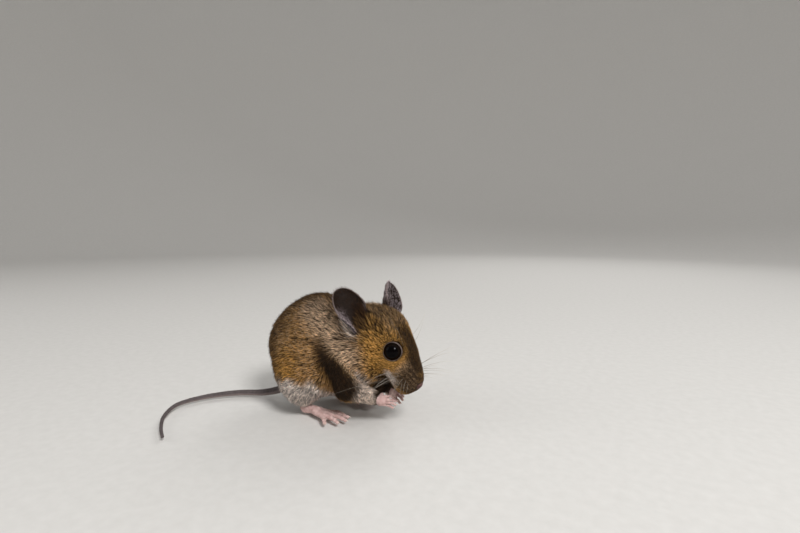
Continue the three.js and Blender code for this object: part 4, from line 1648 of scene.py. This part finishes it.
class CoatBuilder(Builder):
    """Grow one region of the coat on both sides."""

    def build(self, context):
        material = bpy.data.materials.get("Coat") or coat_material()
        for name in SIDES:
            seed = 100 * REGIONS.index(self.region) + 10 * list(SIDES).index(name)
            piece = coat_piece(self.region, name, context.scene.mouse_coat, seed, material)
            declared(piece, "brown_fur")


class MOUSE_OT_coat_head(CoatBuilder):
    """Grow the short coat of the head"""

    bl_idname = "mouse.coat_head"
    bl_label = "Coat of the head"
    region = "head"


class MOUSE_OT_coat_forequarter(CoatBuilder):
    """Grow the coat of the neck, chest and forelegs"""

    bl_idname = "mouse.coat_forequarter"
    bl_label = "Coat of the forequarters"
    region = "forequarter"


class MOUSE_OT_coat_back(CoatBuilder):
    """Grow the coat of the back"""

    bl_idname = "mouse.coat_back"
    bl_label = "Coat of the back"
    region = "back"


class MOUSE_OT_coat_haunch(CoatBuilder):
    """Grow the coat of the haunches, rump and belly"""

    bl_idname = "mouse.coat_haunch"
    bl_label = "Coat of the haunches"
    region = "haunch"


def point_cloud(name, places, **vectors):
    """A mesh of loose points with a vector or a number on each."""
    made = mesh_object(name, np.array(places), np.empty((0, 3), int))
    for label, values in vectors.items():
        values = np.array(values, float)
        set_attribute(made, label, values, "FLOAT_VECTOR" if values.ndim == 2 else "FLOAT")
    return made


class MOUSE_OT_whiskers(Builder):
    """Set the rows of whiskers in their pads, with a few over the eyes"""

    bl_idname = "mouse.whiskers"
    bl_label = "Whiskers"

    def build(self, context):
        look = context.scene.mouse_details
        random = np.random.default_rng(7)
        roots, aims, bends, thicks = [], [], [], []
        longest = look.whisker_length
        for side in SIDES.values():
            for row, column in itertools.product(range(WHISKER_ROWS), range(WHISKER_COLUMNS)):
                lower = row > 1
                if lower and column in (0, 2):
                    continue
                back = column + 0.5 * (row % 2)
                root = (NOSE_REACH - 2.6 - back * 0.95, 3.6, -0.6 - row * 1.05)
                length = longest * (0.24 + 0.17 * back) * (1 - 0.12 * row) * random.uniform(0.85, 1.1)
                sweep = 0.24 if lower else 0.1
                rise = -0.25 * (row - 1) if lower else 0.45 - 0.12 * row
                aim = np.array((0.45 - sweep * back, 0.85 - 0.04 * back, rise))
                aim = unit(aim + random.normal(0, 0.08, 3))
                roots.append(on_head(np.array(root) * (1, side, 1)))
                aims.append(HEAD_AXES @ (aim * (1, side, 1)) * length)
                bends.append(HEAD_AXES @ (np.array((0.02, -0.12, -0.25)) * (1, side, 1)) * length)
                thicks.append((0.6 + 0.1 * back) * (0.45 if lower else 1))
            for brow in range(2):
                root = (EYE[0] - 1 + brow * 2.4, 3.4, 6.2)
                aim = unit(np.array((-0.3, 0.75, 0.8)) + random.normal(0, 0.1, 3))
                roots.append(on_head(np.array(root) * (1, side, 1)))
                aims.append(HEAD_AXES @ (aim * (1, side, 1)) * longest * 0.35)
                bends.append(HEAD_AXES @ np.array((-0.3, 0, 0)) * longest * 0.35)
                thicks.append(0.6)
        roots = settled(plain_skin, np.array(roots), farthest=3)
        source = point_cloud("Whisker roots", roots, aim=aims, bend=bends, thick=thicks)
        piece = grown_piece(
            "Whiskers",
            source,
            tree_of_strands(),
            root_radius=look.whisker_radius,
            tip_radius=look.whisker_radius * 0.25,
            steps=16,
            sides=6,
            material=hair_material("Whisker", (0.09, 0.065, 0.05), (0.72, 0.64, 0.54), 0.4),
        )
        declared(piece, "whisker")


class MOUSE_OT_claws(Builder):
    """Set a claw on each finger and toe"""

    bl_idname = "mouse.claws"
    bl_label = "Claws"

    def build(self, context):
        look = context.scene.mouse_details
        material = hair_material("Claw", (0.62, 0.42, 0.36), (0.8, 0.72, 0.62), 0.3)
        fingers = [finger_path(finger, reach) for finger, reach in enumerate(FINGER_REACHES)]
        toes = [toe_path(toe["root"], toe["reach"], toe["splay"]) for toe in TOES]
        for name, paths, size in (("Claws_forefeet", fingers, 0.75), ("Claws_hindfeet", toes, 1.0)):
            roots, aims, bends, thicks = [], [], [], []
            for side, path in itertools.product(SIDES.values(), paths):
                way = unit(unit(path[-1] - path[-2]) * (1, 1, 0.3) + (0, 0, 0.35))
                start = path[-1] + way * 0.18 + (0, 0, 0.12)
                length = look.claw_length * size
                roots.append(start * (1, side, 1))
                aims.append(way * (1, side, 1) * length)
                bends.append(np.array((0, 0, -0.55)) * length)
                thicks.append(size)
            source = point_cloud(name, roots, aim=aims, bend=bends, thick=thicks)
            piece = grown_piece(
                name,
                source,
                tree_of_strands(),
                root_radius=look.claw_length * 0.24,
                tip_radius=look.claw_length * 0.02,
                steps=8,
                sides=8,
                material=material,
            )
            declared(piece, "claw")


def hair_source(name, points, triangles, lie, place, thick=1, long=1, tint=0):
    """A surface for fine hairs: the way they lie, their share of the density and length, their tint."""
    made = mesh_object(name, points, triangles)
    set_attribute(made, "lie", lie, "FLOAT_VECTOR")
    for label, values in (("thick", thick), ("long", long), ("tint", tint)):
        set_attribute(made, label, np.broadcast_to(np.asarray(values, float), len(points)))
    set_attribute(made, "place", np.concatenate([place, np.zeros((len(place), 1))], 1), "FLOAT_VECTOR")
    return made


class MOUSE_OT_fine_hairs(Builder):
    """Grow the thin hairs of the ears, tail and feet"""

    bl_idname = "mouse.fine_hairs"
    bl_label = "Fine hairs"

    def build(self, context):
        look = context.scene.mouse_details
        tree = tree_of_hairs()
        # the tint is the pale rim of the ear, and also the painted sheen and light on its hair
        ear_hair = hair_material(
            "Ear hair", (0.018, 0.008, 0.004), (0.075, 0.037, 0.018), 0.8, (0.4, 0.33, 0.34)
        )
        tail_hair = hair_material("Tail hair", (0.1, 0.08, 0.07), (0.24, 0.2, 0.18))
        foot_hair = hair_material("Foot hair", (0.6, 0.5, 0.45), (0.75, 0.7, 0.64))
        for name, side in SIDES.items():
            points, triangles = ear(name, side)
            axis = ear_frame(name, side)[1]
            along, turned = ear_grid()
            outer = turned * -side
            # painted light: the hair on the lower rear part of the ear, which faces the lamps, is tinted pale
            lit_flap = ramp(0, 0.6, outer) * ramp(0.65, 0.35, along)
            rim = ramp(0.93, 1, np.maximum(np.abs(turned), along))
            front = ramp(0.2, -0.5, outer) * ramp(0.55, 0.1, along)
            source = hair_source(
                "Ear",
                points,
                triangles,
                np.tile(axis, (len(points), 1)),
                grid_map(EAR_ROWS, 2 * EAR_HALF),
                thick=over_ear(0.55 + 0.35 * lit_flap + 0.8 * front),
                long=over_ear(1 + 1.6 * front),
                tint=over_ear(np.clip(EARS[name]["painted_sheen"] + 0.9 * lit_flap + 0.8 * rim, 0, 1) * (1 - front)),
            )
            settings = {"density": 9e6, "length": look.ear_hair, "radius": 0.000055, "lift": 0.4}
            piece = grown_piece(f"Ear_hair_{name}", source, tree, material=ear_hair, seed=3, **settings)
            declared(piece, "ear_skin")

            points, triangles = foot() if side > 0 else mirrored_mesh(*foot())
            upper = points[triangles].mean(1)[:, 2] > 1.1
            lie = np.tile((1.0, 0, -0.1), (len(points), 1))
            place = azimuth_map(points, HEEL * (1, side, 1) + (8, 0, -3), (0, 0, 1))
            source = hair_source("Foot", points, triangles[upper], lie, place)
            settings = {"density": 9e6, "length": look.foot_hair, "radius": 0.00002, "lift": 0.15}
            piece = grown_piece(f"Foot_hair_{name}", source, tree, material=foot_hair, seed=5, **settings)
            declared(piece, "pink_skin")
        points, triangles = tail(look.tail_rings)
        path, _ = tail_curve(200)
        nearest = np.linalg.norm(points[:, None] - path[None], axis=2).argmin(1)
        way = unit(np.gradient(path, axis=0))[nearest]
        place = grid_map((len(points) - 2) // 14, 14)
        off_floor = blended(0.15, 1, ramp(0, 0.9, points[:, 2]))  # short where the tail lies on the ground
        source = hair_source("Tail", points, triangles, way, place, long=off_floor)
        settings = {"density": 9e6, "length": look.tail_hair, "radius": 0.000025, "lift": 0.3}
        piece = grown_piece("Tail_hair", source, tree, material=tail_hair, seed=4, **settings)
        declared(piece, "tail_skin")


def grid_map(rows, sides):
    """The unwrap of a loft: rows up, sides across, and the middle of each cap."""
    row, side = np.mgrid[0:rows, 0:sides]
    flat = np.stack([0.01 + 0.97 * side.ravel() / sides, 0.01 + 0.97 * row.ravel() / rows], 1)
    return np.concatenate([flat, [(0.5, 0.01), (0.5, 0.98)]])


class MOUSE_OT_stage(Builder):
    """Set up a plain pale floor, soft studio light and the camera"""

    bl_idname = "mouse.stage"
    bl_label = "Stage"

    def build(self, context):
        scene = context.scene
        material, tree, surface = new_material("Studio paper", 0.9, specular_ior_level=0.1)
        fibres = add_node(tree, "ShaderNodeTexNoise", {"Scale": 900.0, "Detail": 3.0}).outputs[0]
        paper = mixed(tree, fibres, (0.6, 0.585, 0.56, 1), (0.68, 0.665, 0.64, 1))
        tree.links.new(paper, surface["Base Color"])
        turns = np.linspace(0, 2 * math.pi, 96, endpoint=False)
        centre, wall, under = 0.0005, FLOOR_RADIUS + COVE_RADIUS, -0.02
        profile = [(centre, FLOOR_LEVEL), (FLOOR_RADIUS, FLOOR_LEVEL)]
        for angle in np.linspace(0.1, 1.57, 12):
            rise = COVE_RADIUS * (1 - math.cos(angle))
            profile.append((FLOOR_RADIUS + COVE_RADIUS * math.sin(angle), FLOOR_LEVEL + rise))
        profile += [(wall, WALL_TOP), (wall + 0.02, WALL_TOP), (wall + 0.02, under), (centre, under)]
        rings = np.array(
            [[(reach * math.cos(a), reach * math.sin(a), height) for a in turns] for reach, height in profile]
        )
        points, triangles = facing_out(*loft(rings / MM - SHIFT))
        mesh_object("Backdrop", points, triangles, [material])

        world = bpy.data.worlds.new("Studio")
        world.use_nodes = True
        world.node_tree.nodes["Background"].inputs["Color"].default_value = (1, 1, 1, 1)
        world.node_tree.nodes["Background"].inputs["Strength"].default_value = 0.45
        scene.world = world
        scene.view_settings.view_transform = "Standard"

        level = math.cos(CAMERA_PITCH)
        ahead = (level * math.cos(CAMERA_YAW), level * math.sin(CAMERA_YAW), -math.sin(CAMERA_PITCH))
        camera = bpy.data.objects.new("Camera", bpy.data.cameras.new("Camera"))
        context.collection.objects.link(camera)
        camera.data.lens = CAMERA_LENS
        camera.data.sensor_width = SENSOR_WIDTH
        camera.data.clip_start = 0.005
        camera.data.clip_end = 20
        camera.location = placed(CAMERA_PLACE)
        camera.rotation_euler = Vector(ahead).to_track_quat("-Z", "Y").to_euler()
        scene.camera = camera

        middle = Vector(placed((12, 0, 18)))
        for name, offset, width, power in LAMPS:
            lamp = bpy.data.objects.new(name, bpy.data.lights.new(name, "AREA"))
            context.collection.objects.link(lamp)
            lamp.data.size = width
            lamp.data.energy = power
            lamp.location = middle + Vector(offset)
            lamp.rotation_euler = (-Vector(offset)).to_track_quat("-Z", "Y").to_euler()


STEPS = (
    MOUSE_OT_stage,
    MOUSE_OT_skin,
    MOUSE_OT_eyes,
    MOUSE_OT_coat_head,
    MOUSE_OT_coat_forequarter,
    MOUSE_OT_coat_back,
    MOUSE_OT_coat_haunch,
    MOUSE_OT_whiskers,
    MOUSE_OT_claws,
    MOUSE_OT_fine_hairs,
)
GROUPS = {"mouse_coat": MouseCoat, "mouse_colours": MouseColours, "mouse_details": MouseDetails}


class MOUSE_PT_build(bpy.types.Panel):
    """The steps of the build, with their sizes and colours."""

    bl_idname = "MOUSE_PT_build"
    bl_label = "Wood Mouse"
    bl_space_type = "VIEW_3D"
    bl_region_type = "UI"
    bl_category = "Mouse"

    def draw(self, context):
        for name in GROUPS:
            settings = getattr(context.scene, name)
            box = self.layout.box()
            for label in settings.bl_rna.properties.keys():
                if label not in ("rna_type", "name"):
                    box.prop(settings, label)
        for step in STEPS:
            self.layout.operator(step.bl_idname)


def register():
    for made in (*GROUPS.values(), *STEPS, MOUSE_PT_build):
        bpy.utils.register_class(made)
    for name, group in GROUPS.items():
        setattr(bpy.types.Scene, name, bpy.props.PointerProperty(type=group))


def unregister():
    for name in GROUPS:
        delattr(bpy.types.Scene, name)
    for made in (MOUSE_PT_build, *reversed(STEPS), *GROUPS.values()):
        bpy.utils.unregister_class(made)


def main():
    register()
    for step in STEPS:
        group, name = step.bl_idname.split(".")
        getattr(getattr(bpy.ops, group), name)()


if __name__ == "__main__":
    main()
